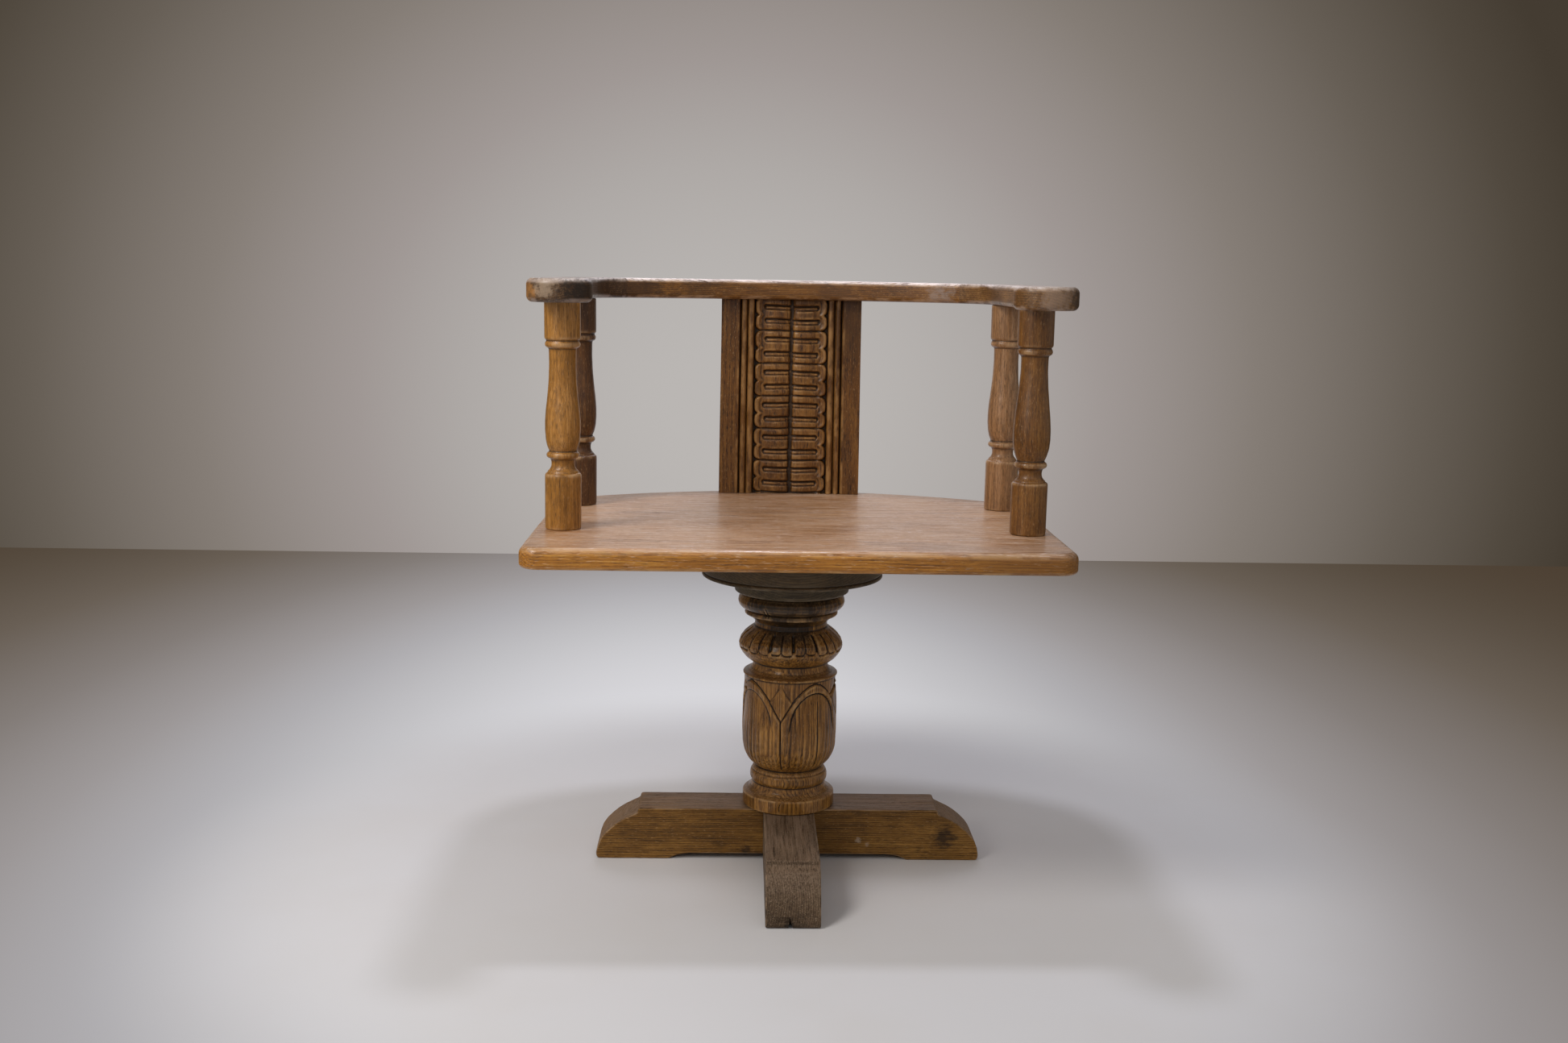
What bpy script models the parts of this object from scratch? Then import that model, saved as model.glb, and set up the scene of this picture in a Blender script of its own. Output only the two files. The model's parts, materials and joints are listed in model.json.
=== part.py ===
"""Swivel armchair of solid oak: a plank seat with a low curved back, turning on a carved column.

Metres, +Z up. The origin is on the floor, on the axis that the seat turns about. The front is -Y.
"""

import math

import bmesh
import bpy
from mathutils import Matrix, Vector

MM = 0.001

# Fits
FIT = 0.3 * MM                    # gap between two pieces that meet
CUT_PAST = 2 * MM                 # how far a cutter runs past the face that it opens
SMOOTH_SAG = 0.4 * MM             # most that a facet lies inside the arc that it stands for

# Foot cross, two beams half lapped over each other
SIDE_BEAM_SPAN = 474 * MM
FRONT_BEAM_SPAN = 480 * MM
BEAM_WIDTH = 62 * MM
BEAM_HEIGHT = 65 * MM
TOE_LENGTH = 59 * MM              # from the step in the top to the end of the beam
TOE_STEP_RUN = 7 * MM
TOE_STEP_DROP = 7.5 * MM
TOE_LIP = 6 * MM                  # upright face left at the end
TOE_BOW = 0.27
PAD_LENGTH = 90 * MM              # flat that stands on the floor
RELIEF_RISE = 7 * MM              # hollow under the beam between its pads
RELIEF_COVE = 20 * MM
RELIEF_BOW = 0.25
BEAM_ARRIS = 1.5 * MM

# Fixing of the column to the cross
TENON_RADIUS = 18 * MM
TENON_LENGTH = 38 * MM
FOOT_SCREW_RADIUS = 4.7 * MM
FOOT_SCREW_GRIP = 60 * MM         # length inside the column
FOOT_HEAD_RADIUS = 8.5 * MM
FOOT_HEAD_HEIGHT = 5.5 * MM
FOOT_WASHER_RADIUS = 11 * MM
FOOT_WASHER_THICK = 1.6 * MM
FOOT_WELL_DEPTH = 9 * MM
FOOT_WELL_PLAY = 1.5 * MM

# Column, one height and one radius for each moulding, from the foot up
PLINTH_RADIUS = 56.4 * MM
PLINTH_HEIGHT = 18 * MM
SHOULDER_RADIUS = 44.3 * MM
SHOULDER_HEIGHT = 9.7 * MM
SHOULDER_BOW = 0.245                # of each curved stretch, its rise over half its length
FOOT_RING_RADIUS = 46.9 * MM
FOOT_RING_HEIGHT = 14.5 * MM
THROAT_RADIUS = 39.8 * MM
THROAT_HEIGHT = 3.5 * MM
CUP_RADIUS = 58.4 * MM
CUP_FOOT_RADIUS = 57.4 * MM       # where the swelling ends and the side begins
CUP_LIP_RADIUS = 57.6 * MM
CUP_ROUND_HEIGHT = 37 * MM        # swelling foot of the cup
CUP_ROUND_BOW = 0.185
CUP_SIDE_HEIGHT = 70 * MM
CUP_SIDE_BOW = 0.015
CUP_FIELD_RADIUS = 55.8 * MM
CUP_FIELD_HEIGHT = 14.3 * MM
COLLAR_RADIUS = 57 * MM
COLLAR_EDGE = 1.7 * MM
COLLAR_SLOPE = 7.3 * MM
COLLAR_BOW = 0.14
NECK_RADIUS = 45.2 * MM
LOW_NECK_HEIGHT = 2.1 * MM
BULB_RADIUS = 64.1 * MM
BULB_LOW_HEIGHT = 24.6 * MM
BULB_LOW_BOW = 0.22
BULB_HIGH_HEIGHT = 24 * MM
BULB_HIGH_BOW = 0.25
HIGH_NECK_HEIGHT = 5 * MM
FILLET_RADIUS = 57.9 * MM
FILLET_HEIGHT = 13 * MM
FILLET_BOW = 0.22
TORUS_RADIUS = 64.7 * MM
TORUS_EDGE_RADIUS = 58.4 * MM
TORUS_HEIGHT = 24 * MM

# Discs between the column and the swivel
SMALL_DISC_RADIUS = 69.4 * MM
SMALL_DISC_THICK = 23.7 * MM
LARGE_DISC_RADIUS = 110.4 * MM
LARGE_DISC_THICK = 30 * MM
DISC_EDGE_ROUND = 6 * MM
CAP_SCREW_CIRCLE = 42 * MM
CAP_SCREW_LENGTH = 76 * MM
CAP_SCREW_RADIUS = 2.8 * MM
CAP_SCREW_HEAD = 5.6 * MM
SCREW_COUNT = 4
SCREW_STAGGER = 45                # degrees that one set of screws is turned from the next
SCREW_TIP = 3                     # length of a screw's tip in radii of its shank

# Ball-bearing swivel
PLATE_RADIUS = 78 * MM
PLATE_THICK = 3 * MM
BALL_RADIUS = 4.75 * MM
BALL_INSET = 28 * MM              # from the rim of the plate to the circle of the balls
BALL_COUNT = 10
RACE_DEPTH = 1 * MM
RACE_HALF_WIDTH = 3.8 * MM
RACE_FLOOR_HALF = 2 * MM
RETAINER_WIDTH = 20 * MM
RETAINER_THICK = 3 * MM
PLATE_SCREW_INSET = 9 * MM
PLATE_SCREW_LENGTH = 18 * MM
PLATE_SCREW_RADIUS = 2 * MM
PLATE_SCREW_HEAD = 4 * MM
KING_BOLT_RADIUS = 6 * MM
KING_BOLT_GRIP = 50 * MM          # length inside the column
KING_HEAD_RADIUS = 10.5 * MM
KING_HEAD_HEIGHT = 7 * MM
KING_WASHER_RADIUS = 13 * MM
KING_WASHER_THICK = 2 * MM
KING_WELL_PLAY = 2 * MM

# Seat, three boards glued edge to edge
SEAT_WIDTH = 602 * MM
SEAT_FRONT = 249 * MM             # from the axis to the front edge
SEAT_REAR = 223 * MM              # from the axis to the rear edge, on the centre line
SEAT_THICK = 24 * MM
SEAT_REAR_ARC = 495 * MM
SEAT_REAR_CORNER = 115 * MM
SEAT_FRONT_CORNER = 22 * MM
SEAT_ROUND = 9 * MM
FRONT_BOARD_WIDTH = 169 * MM
REAR_BOARD_WIDTH = 123 * MM
DOWEL_RADIUS = 4 * MM
DOWEL_LENGTH = 40 * MM
SEAT_DOWEL_PITCH = 160 * MM
SEAT_DOWEL_COUNT = 3
ROUND_LIMIT = 0.45                # most of a board's thickness that a rounding takes

# Spindles, one height and one radius for each moulding, from the seat up
SPINDLE_INSET = 35.5 * MM         # from the side edge of the seat to the axis of a spindle
SPINDLE_SETBACK = 132.5 * MM      # from the front edge of the seat to the front spindles
SPINDLE_SPREAD = 190 * MM         # from the front spindles to the rear ones
SPINDLE_RADIUS = 20.6 * MM
SPINDLE_BASE_HEIGHT = 57 * MM
SPINDLE_SHOULDER_RADIUS = 17.3 * MM
SPINDLE_SHOULDER_HEIGHT = 5 * MM
SPINDLE_SHOULDER_BOW = 0.3
SPINDLE_COVE_HEIGHT = 13.5 * MM
SPINDLE_COVE_BOW = 0.3
SPINDLE_NECK_RADIUS = 15 * MM
SPINDLE_RING_RADIUS = 19.3 * MM
SPINDLE_RING_HEIGHT = 8.5 * MM
SPINDLE_BELLY_RADIUS = 21.2 * MM
SPINDLE_BELLY_HEIGHT = 31 * MM
SPINDLE_BELLY_BOW = 0.16
SPINDLE_WAIST_RADIUS = 15.7 * MM
SPINDLE_WAIST_HEIGHT = 90.5 * MM
SPINDLE_BEAD_RADIUS = 20.3 * MM
SPINDLE_BEAD_HEIGHT = 7.5 * MM
SPINDLE_GROOVE_DEPTH = 1.2 * MM
SPINDLE_GROOVE_HEIGHT = 2 * MM
SPINDLE_TOP_HEIGHT = 41 * MM
SPINDLE_TENON_RADIUS = 11 * MM
SPINDLE_FOOT_TENON = 17 * MM
SPINDLE_HEAD_TENON = 15 * MM

# Rail, three pieces butted at two seams
RAIL_OVERHANG = 26.5 * MM         # from the axis of a spindle to the outer edge
RAIL_WIDTH = 50 * MM
RAIL_THICK = 25 * MM
RAIL_CORNER = 130 * MM
RAIL_ROUND = 6.5 * MM
RAIL_SEAM_ANGLE = 53              # degrees from +X, about the centre of the corner
LOBE_RADIUS = 35 * MM
LOBE_SWELL = 2 * MM               # the round end stands this far out past the outer edge
LOBE_SETBACK = 12 * MM            # from the front edge of the seat to the front of the arms
LOBE_NOTCH = 12 * MM              # hollow on the inner side, behind the lobe
LOBE_EASE = 60 * MM               # hollow on the outer side
RAIL_DOWEL_SPREAD = 22 * MM

# Splat, a board with two reeds each side of a raised carved strip
SPLAT_WIDTH = 186 * MM
SPLAT_THICK = 18 * MM
SPLAT_INSET = 27 * MM             # from the rear edge to the middle of the splat
SPLAT_BORDER = 25 * MM
SPLAT_GROOVE_DEPTH = 3 * MM
SPLAT_GROOVE_WIDTH = 2 * MM
SPLAT_REED_WIDTH = 8.5 * MM
SPLAT_FIELD_DEPTH = 5 * MM
SPLAT_CARVING_HALF = 43.5 * MM
SPLAT_CARVING_CLEAR = 1.2 * MM    # the strip stays this far behind the border's face
SPLAT_TENON_WIDTH = 150 * MM
SPLAT_TENON_THICK = 9 * MM
SPLAT_TENON_LENGTH = 12 * MM

# How finely pieces are turned and rounded
COLUMN_STEPS = 28
SPINDLE_STEPS = 14
DISC_STEPS = 32
PLATE_STEPS = 24
HARDWARE_STEPS = 8
BALL_RINGS = 4
EDGE_SEGMENTS = 2
WAIST_STEPS = 5
HEX = 6
SHARP_ANGLE = 50                  # degrees, the least that counts as an edge
QUARTER_BOW = math.tan(math.radians(22.5))    # a quarter round

# Places that follow from the sizes above
BALL_CIRCLE = PLATE_RADIUS - BALL_INSET
PLATE_SCREW_CIRCLE = PLATE_RADIUS - PLATE_SCREW_INSET
FRONT_SEAM = FRONT_BOARD_WIDTH - SEAT_FRONT
REAR_SEAM = SEAT_REAR - REAR_BOARD_WIDTH
SPINDLE_X = SEAT_WIDTH / 2 - SPINDLE_INSET
SPINDLE_FRONT_Y = SPINDLE_SETBACK - SEAT_FRONT
SPINDLE_REAR_Y = SPINDLE_FRONT_Y + SPINDLE_SPREAD
RAIL_HALF_WIDTH = SPINDLE_X + RAIL_OVERHANG
LOBE_X = RAIL_HALF_WIDTH + LOBE_SWELL - LOBE_RADIUS
LOBE_Y = LOBE_SETBACK + LOBE_RADIUS - SEAT_FRONT
SPLAT_Y = SEAT_REAR - SPLAT_INSET

# Heights that follow from the sizes above
LAP_HEIGHT = (RELIEF_RISE + BEAM_HEIGHT) / 2
COLUMN_FOOT = BEAM_HEIGHT + FIT
COLUMN_HEIGHT = (
    PLINTH_HEIGHT + SHOULDER_HEIGHT + FOOT_RING_HEIGHT + THROAT_HEIGHT
    + CUP_ROUND_HEIGHT + CUP_SIDE_HEIGHT + CUP_FIELD_HEIGHT + COLLAR_EDGE + COLLAR_SLOPE
    + LOW_NECK_HEIGHT + BULB_LOW_HEIGHT + BULB_HIGH_HEIGHT + HIGH_NECK_HEIGHT
    + FILLET_HEIGHT + TORUS_HEIGHT
)
COLUMN_TOP = COLUMN_FOOT + COLUMN_HEIGHT
SMALL_DISC_FOOT = COLUMN_TOP + FIT
SMALL_DISC_TOP = SMALL_DISC_FOOT + SMALL_DISC_THICK
LARGE_DISC_FOOT = SMALL_DISC_TOP + FIT
LARGE_DISC_TOP = LARGE_DISC_FOOT + LARGE_DISC_THICK
LOWER_PLATE_FOOT = LARGE_DISC_TOP + FIT
LOWER_PLATE_TOP = LOWER_PLATE_FOOT + PLATE_THICK
BALL_HEIGHT = LOWER_PLATE_TOP - RACE_DEPTH + FIT + BALL_RADIUS
UPPER_PLATE_FOOT = BALL_HEIGHT + BALL_RADIUS + FIT - RACE_DEPTH
UPPER_PLATE_TOP = UPPER_PLATE_FOOT + PLATE_THICK
SEAT_FOOT = UPPER_PLATE_TOP + FIT
SEAT_TOP = SEAT_FOOT + SEAT_THICK
SPINDLE_FOOT = SEAT_TOP + FIT
SPINDLE_HEIGHT = (
    SPINDLE_BASE_HEIGHT + SPINDLE_SHOULDER_HEIGHT + SPINDLE_COVE_HEIGHT + SPINDLE_RING_HEIGHT
    + SPINDLE_BELLY_HEIGHT + SPINDLE_WAIST_HEIGHT + SPINDLE_BEAD_HEIGHT
    + SPINDLE_GROOVE_HEIGHT + SPINDLE_TOP_HEIGHT
)
RAIL_FOOT = SPINDLE_FOOT + SPINDLE_HEIGHT + FIT

OAK = (0.27, 0.13, 0.055)
DARK_OAK = (0.11, 0.075, 0.05)
STEEL = (0.35, 0.34, 0.33)
BEECH = (0.55, 0.4, 0.24)


# Scene and collections

for leftover in list(bpy.data.objects):
    bpy.data.objects.remove(leftover, do_unlink=True)

CHAIR = bpy.data.collections.new("swivel_armchair")
CUTTERS = bpy.data.collections.new("cutters")
for collection in (CHAIR, CUTTERS):
    bpy.context.scene.collection.children.link(collection)


def empty(name, height, parent=None):
    """An axis that pieces hang on, standing on the centre line."""
    axis = bpy.data.objects.new(name, None)
    axis.empty_display_size = 50 * MM
    axis.parent = parent
    axis.location.z = height
    CHAIR.objects.link(axis)
    return axis


BASE = empty("base_axis", 0.0)
SEAT_AXIS = empty("seat_axis", LOWER_PLATE_TOP, BASE)
CAGE_AXIS = empty("cage_axis", LOWER_PLATE_TOP, BASE)


# Looks

def finish(name, colour, roughness, metallic=0.0):
    look = bpy.data.materials.new(name)
    look.use_nodes = True
    shader = look.node_tree.nodes["Principled BSDF"]
    shader.inputs["Base Color"].default_value = (*colour, 1.0)
    shader.inputs["Roughness"].default_value = roughness
    shader.inputs["Metallic"].default_value = metallic
    return look


def oak(name):
    return finish(name + "_oak", OAK, 0.5)


def dark_oak(name):
    return finish(name + "_dark_oak", DARK_OAK, 0.65)


def steel(name):
    return finish(name + "_steel", STEEL, 0.4, 1.0)


def beech(name):
    return finish(name + "_beech", BEECH, 0.6)


# Outlines

def sagitta_steps(radius, sweep):
    """How many straight steps an arc of this sweep, in radians, needs."""
    widest = 2 * math.acos(max(0.5, 1 - SMOOTH_SAG / radius))
    return max(1, math.ceil(abs(sweep) / widest))


def arc(centre, radius, start, end):
    """Points on an arc from start to end, in degrees, both ends included."""
    sweep = math.radians(end - start)
    steps = sagitta_steps(radius, sweep)
    points = []
    for i in range(steps + 1):
        angle = math.radians(start) + sweep * i / steps
        points.append((centre[0] + radius * math.cos(angle), centre[1] + radius * math.sin(angle)))
    return points


def bowed(corners):
    """Points through (across, up, bow) corners.

    A bow is the rise over half the length of the stretch that starts there. It swells to the
    right of the way along the outline, and to the left where it is negative.
    """
    points = []
    for (x, y, bow), (next_x, next_y, _) in zip(corners, corners[1:]):
        points.append((x, y))
        if bow:
            start, end = Vector((x, y)), Vector((next_x, next_y))
            chord = end - start
            left = Vector((-chord.y, chord.x)).normalized()
            radius = chord.length * (1 + bow * bow) / (4 * abs(bow))
            toward = left if bow > 0 else -left
            centre = (start + end) / 2 + toward * (radius - abs(bow) * chord.length / 2)
            sweep = 4 * math.atan(bow)
            steps = sagitta_steps(radius, sweep)
            for i in range(1, steps):
                spoke = Matrix.Rotation(sweep * i / steps, 2) @ (start - centre)
                points.append(tuple(centre + spoke))
    points.append(corners[-1][:2])
    return points


def mirrored(half):
    """A closed outline from its right half, which starts and ends on the centre line."""
    return half + [(-x, y) for x, y in reversed(half) if abs(x) > FIT]


# Meshes

CORNER_FORWARD = Matrix.Rotation(-math.pi / 2, 4, "Z")     # first corner of a round on +X


def evaluated_mesh(holder):
    """The mesh that an object's curve or modifiers make. The object is then removed."""
    CHAIR.objects.link(holder)
    bpy.context.view_layer.update()
    shown = holder.evaluated_get(bpy.context.evaluated_depsgraph_get())
    mesh = bpy.data.meshes.new_from_object(shown)
    bpy.data.objects.remove(holder)
    return mesh


def slab_mesh(name, outline, thickness):
    """A flat slab cut to an outline, half its thickness above and below its own XY plane."""
    curve = bpy.data.curves.new(name, "CURVE")
    curve.dimensions = "2D"
    curve.fill_mode = "BOTH"
    curve.extrude = thickness / 2
    spline = curve.splines.new("POLY")
    spline.points.add(len(outline) - 1)
    for point, (x, y) in zip(spline.points, outline):
        point.co = (x, y, 0, 1)
    spline.use_cyclic_u = True
    mesh = evaluated_mesh(bpy.data.objects.new(name, curve))
    bm = bmesh.new()
    bm.from_mesh(mesh)
    bmesh.ops.remove_doubles(bm, verts=bm.verts, dist=0.001 * MM)
    for level in (-thickness / 2, thickness / 2):
        cap = [face for face in bm.faces if all(abs(v.co.z - level) < FIT for v in face.verts)]
        bmesh.ops.dissolve_faces(bm, faces=cap)
    bmesh.ops.recalc_face_normals(bm, faces=bm.faces)
    bm.to_mesh(mesh)
    bm.free()
    return mesh


def profile_mesh(name, profile):
    """The outer line of a turned shape, listed from its foot up and laid from its top down."""
    mesh = bpy.data.meshes.new(name)
    vertices = [(radius, 0, height) for radius, height in reversed(profile)]
    edges = [(i, i + 1) for i in range(len(vertices) - 1)]
    if vertices[0] == vertices[-1]:
        vertices.pop()
        edges[-1] = (len(vertices) - 1, 0)
    mesh.from_pydata(vertices, edges, [])
    return mesh


def turn(piece, steps):
    """Turn the piece's profile about its own Z axis."""
    screw = piece.modifiers.new("turn", "SCREW")
    screw.axis = "Z"
    screw.steps = steps
    screw.render_steps = steps
    screw.use_merge_vertices = True
    screw.merge_threshold = 0.001 * MM
    screw.use_smooth_shade = True


def turned_mesh(name, profile, steps):
    holder = bpy.data.objects.new(name, profile_mesh(name, profile))
    turn(holder, steps)
    return evaluated_mesh(holder)


def rod_mesh(name, radius, low, high, sides=HARDWARE_STEPS):
    """A round or many-sided bar from one height to another, on its own Z axis."""
    mesh = bpy.data.meshes.new(name)
    bm = bmesh.new()
    bmesh.ops.create_cone(
        bm, cap_ends=True, segments=sides, radius1=radius, radius2=radius, depth=high - low,
        matrix=Matrix.Translation((0, 0, (low + high) / 2)) @ CORNER_FORWARD,
    )
    bm.to_mesh(mesh)
    bm.free()
    return mesh


def box_mesh(name, low, high):
    """A block between its lowest and highest corners."""
    mesh = bpy.data.meshes.new(name)
    size = Vector(high) - Vector(low)
    middle = (Vector(high) + Vector(low)) / 2
    bm = bmesh.new()
    bmesh.ops.create_cube(
        bm, size=1, matrix=Matrix.Translation(middle) @ Matrix.Diagonal((*size, 1)),
    )
    bm.to_mesh(mesh)
    bm.free()
    return mesh


def copies(mesh, places):
    """One mesh with a copy of the given mesh at each place."""
    bm = bmesh.new()
    for place in places:
        one = mesh.copy()
        one.transform(place)
        bm.from_mesh(one)
        bpy.data.meshes.remove(one)
    group = bpy.data.meshes.new(mesh.name + "_group")
    bm.to_mesh(group)
    bm.free()
    return group


def round_places(circle, height, count, first=0.0):
    """Places spread evenly on a circle about the axis, the first one at an angle in degrees."""
    places = []
    for i in range(count):
        spin = Matrix.Rotation(math.radians(first) + 2 * math.pi * i / count, 4, "Z")
        places.append(spin @ Matrix.Translation((circle, 0, height)))
    return places


# Pieces and cutters

def piece(name, mesh, look, parent, place=Matrix()):
    """A named piece at a place in the chair's own frame, hung on an axis."""
    made = bpy.data.objects.new(name, mesh)
    made.parent = parent
    mesh.materials.clear()
    mesh.materials.append(look(name))
    CHAIR.objects.link(made)
    offset = parent.location
    made.matrix_local = Matrix.Translation(-offset) @ place
    return made


def pieces(name, mesh, look, parent, places):
    """The same piece at each place, numbered from 1."""
    for number, place in enumerate(places, start=1):
        piece(f"{name}_{number}", mesh.copy(), look, parent, place)


def cutter(name, mesh, place=Matrix()):
    tool = bpy.data.objects.new(name, mesh)
    tool.matrix_world = place
    tool.hide_render = True
    tool.display_type = "WIRE"
    CUTTERS.objects.link(tool)
    return tool


def shape_with(made, tool, operation):
    boolean = made.modifiers.new(tool.name, "BOOLEAN")
    boolean.operation = operation
    boolean.object = tool
    boolean.solver = "EXACT"


def cut(made, *tools):
    for tool in tools:
        shape_with(made, tool, "DIFFERENCE")


def keep_inside(made, tool):
    shape_with(made, tool, "INTERSECT")


def add(made, tool):
    shape_with(made, tool, "UNION")


def round_edges(made, radius, segments):
    bevel = made.modifiers.new("rounded edges", "BEVEL")
    bevel.width = radius
    bevel.segments = segments
    bevel.limit_method = "ANGLE"
    bevel.angle_limit = math.radians(SHARP_ANGLE)
    bevel.use_clamp_overlap = False


def shift(x=0.0, y=0.0, z=0.0):
    return Matrix.Translation((x, y, z))


# Foot cross

def beam_outline(end):
    """Side view of a foot beam: across, and up from the floor."""
    step = end - TOE_LENGTH
    pad = end - PAD_LENGTH
    right_side = bowed([
        (0, RELIEF_RISE, 0),
        (pad - RELIEF_COVE, RELIEF_RISE, -RELIEF_BOW),
        (pad, 0, 0),
        (end - BEAM_ARRIS, 0, 0),
        (end, TOE_LIP, TOE_BOW),
        (step + TOE_STEP_RUN, BEAM_HEIGHT - TOE_STEP_DROP, 0),
        (step, BEAM_HEIGHT, 0),
        (0, BEAM_HEIGHT, 0),
    ])
    return mirrored(right_side)


def foot_beam(name, span, turn_angle):
    stand_up = Matrix.Rotation(math.radians(turn_angle), 4, "Z") @ Matrix.Rotation(math.pi / 2, 4, "X")
    beam = piece(name, slab_mesh(name, beam_outline(span / 2), BEAM_WIDTH), oak, BASE, stand_up)
    round_edges(beam, BEAM_ARRIS, 1)
    return beam


def foot_screw_levels():
    """Heights of the well, the head's foot, the washer's foot and the screw's tip."""
    well_top = RELIEF_RISE + FOOT_WELL_DEPTH
    washer_foot = well_top - FIT - FOOT_WASHER_THICK
    head_foot = washer_foot - FIT - FOOT_HEAD_HEIGHT
    tip = COLUMN_FOOT - TENON_LENGTH + FOOT_SCREW_GRIP
    return well_top, head_foot, washer_foot, tip


def build_cross():
    reach = BEAM_WIDTH / 2 + FIT
    side_beam = foot_beam("foot_beam_side", SIDE_BEAM_SPAN, 0)
    front_beam = foot_beam("foot_beam_front", FRONT_BEAM_SPAN, 90)
    upper_notch = cutter("lap_upper", box_mesh(
        "lap_upper", (-reach, -BEAM_WIDTH, LAP_HEIGHT), (reach, BEAM_WIDTH, BEAM_HEIGHT + CUT_PAST)))
    lower_notch = cutter("lap_lower", box_mesh(
        "lap_lower", (-BEAM_WIDTH, -reach, -CUT_PAST), (BEAM_WIDTH, reach, LAP_HEIGHT + FIT)))
    cut(side_beam, upper_notch)
    cut(front_beam, lower_notch)

    tenon_hole = cutter("tenon_hole", rod_mesh(
        "tenon_hole", TENON_RADIUS + FIT, COLUMN_FOOT - TENON_LENGTH - FIT,
        BEAM_HEIGHT + CUT_PAST, COLUMN_STEPS))
    cut(side_beam, tenon_hole)
    cut(front_beam, tenon_hole)

    well_top, head_foot, washer_foot, tip = foot_screw_levels()
    well = cutter("foot_well", rod_mesh(
        "foot_well", FOOT_WASHER_RADIUS + FOOT_WELL_PLAY, -CUT_PAST, well_top, COLUMN_STEPS))
    screw_hole = cutter("foot_screw_hole", rod_mesh(
        "foot_screw_hole", FOOT_SCREW_RADIUS + FIT, -CUT_PAST, tip + FIT))
    cut(side_beam, well, screw_hole)

    washer = piece("foot_washer", rod_mesh(
        "foot_washer", FOOT_WASHER_RADIUS, washer_foot, washer_foot + FOOT_WASHER_THICK,
        2 * HARDWARE_STEPS), steel, BASE)
    cut(washer, screw_hole)
    head = rod_mesh("foot_coach_screw", FOOT_HEAD_RADIUS, head_foot, head_foot + FOOT_HEAD_HEIGHT, HEX)
    screw = piece("foot_coach_screw", head, steel, BASE)
    shank = cutter("foot_screw_shank", rod_mesh(
        "foot_screw_shank", FOOT_SCREW_RADIUS, head_foot + FOOT_HEAD_HEIGHT / 2, tip))
    add(screw, shank)
    return screw_hole


# Column

def column_profile():
    """Radius and height of the column's outer line, from the foot of the tenon up."""
    corners = []

    def go(radius, height, bow=0.0):
        corners.append((radius, height, bow))

    z = COLUMN_FOOT
    go(0, z - TENON_LENGTH)
    go(TENON_RADIUS, z - TENON_LENGTH)
    go(TENON_RADIUS, z)
    go(PLINTH_RADIUS, z)
    z += PLINTH_HEIGHT
    go(PLINTH_RADIUS, z, SHOULDER_BOW)
    z += SHOULDER_HEIGHT
    go(SHOULDER_RADIUS, z, 2 * (FOOT_RING_RADIUS - SHOULDER_RADIUS) / FOOT_RING_HEIGHT)
    z += FOOT_RING_HEIGHT
    go(SHOULDER_RADIUS, z)
    go(THROAT_RADIUS, z)
    z += THROAT_HEIGHT
    go(THROAT_RADIUS, z, CUP_ROUND_BOW)
    z += CUP_ROUND_HEIGHT
    go(CUP_FOOT_RADIUS, z, CUP_SIDE_BOW)
    z += CUP_SIDE_HEIGHT / 2
    go(CUP_RADIUS, z, CUP_SIDE_BOW)
    z += CUP_SIDE_HEIGHT / 2
    go(CUP_LIP_RADIUS, z)
    go(CUP_FIELD_RADIUS, z)
    z += CUP_FIELD_HEIGHT
    go(CUP_FIELD_RADIUS, z)
    go(COLLAR_RADIUS, z)
    z += COLLAR_EDGE
    go(COLLAR_RADIUS, z, COLLAR_BOW)
    z += COLLAR_SLOPE
    go(NECK_RADIUS, z)
    z += LOW_NECK_HEIGHT
    go(NECK_RADIUS, z, BULB_LOW_BOW)
    z += BULB_LOW_HEIGHT
    go(BULB_RADIUS, z, BULB_HIGH_BOW)
    z += BULB_HIGH_HEIGHT
    go(NECK_RADIUS, z)
    z += HIGH_NECK_HEIGHT
    go(NECK_RADIUS, z, FILLET_BOW)
    z += FILLET_HEIGHT
    go(FILLET_RADIUS, z)
    go(TORUS_EDGE_RADIUS, z, 2 * (TORUS_RADIUS - TORUS_EDGE_RADIUS) / TORUS_HEIGHT)
    z += TORUS_HEIGHT
    go(TORUS_EDGE_RADIUS, z)
    go(0, z)
    return bowed(corners)


def build_column(foot_screw_hole):
    column = piece("column", profile_mesh("column", column_profile()), oak, BASE)
    turn(column, COLUMN_STEPS)
    cut(column, foot_screw_hole)
    return column


# Discs on the column

def disc_profile(radius, foot, thickness, low_round):
    return bowed([
        (0, foot, 0),
        (radius - low_round, foot, QUARTER_BOW),
        (radius, foot + low_round, 0),
        (radius, foot + thickness, 0),
        (0, foot + thickness, 0),
    ])


def screw_profile(length, radius, head_radius, play=0.0, past=0.0):
    """A countersunk wood screw with its head's face at height 0, pointing down.

    For its hole, play widens it all round and past runs it on above the head.
    """
    profile = [
        (0, -length - play),
        (radius + play, SCREW_TIP * radius - length),
        (radius + play, radius - head_radius),
        (head_radius + play, 0),
    ]
    if past:
        profile.append((head_radius + play, past))
    return profile + [(0, past)]


def screws(name, length, radius, head_radius, places, parent):
    """A screw at each place, and the cutter for their holes."""
    shape = turned_mesh(name, screw_profile(length, radius, head_radius), HARDWARE_STEPS)
    hole = turned_mesh(
        name + "_holes", screw_profile(length, radius, head_radius, FIT, CUT_PAST), HARDWARE_STEPS)
    pieces(name, shape, steel, parent, places)
    return cutter(name + "_holes", copies(hole, places))


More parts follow.
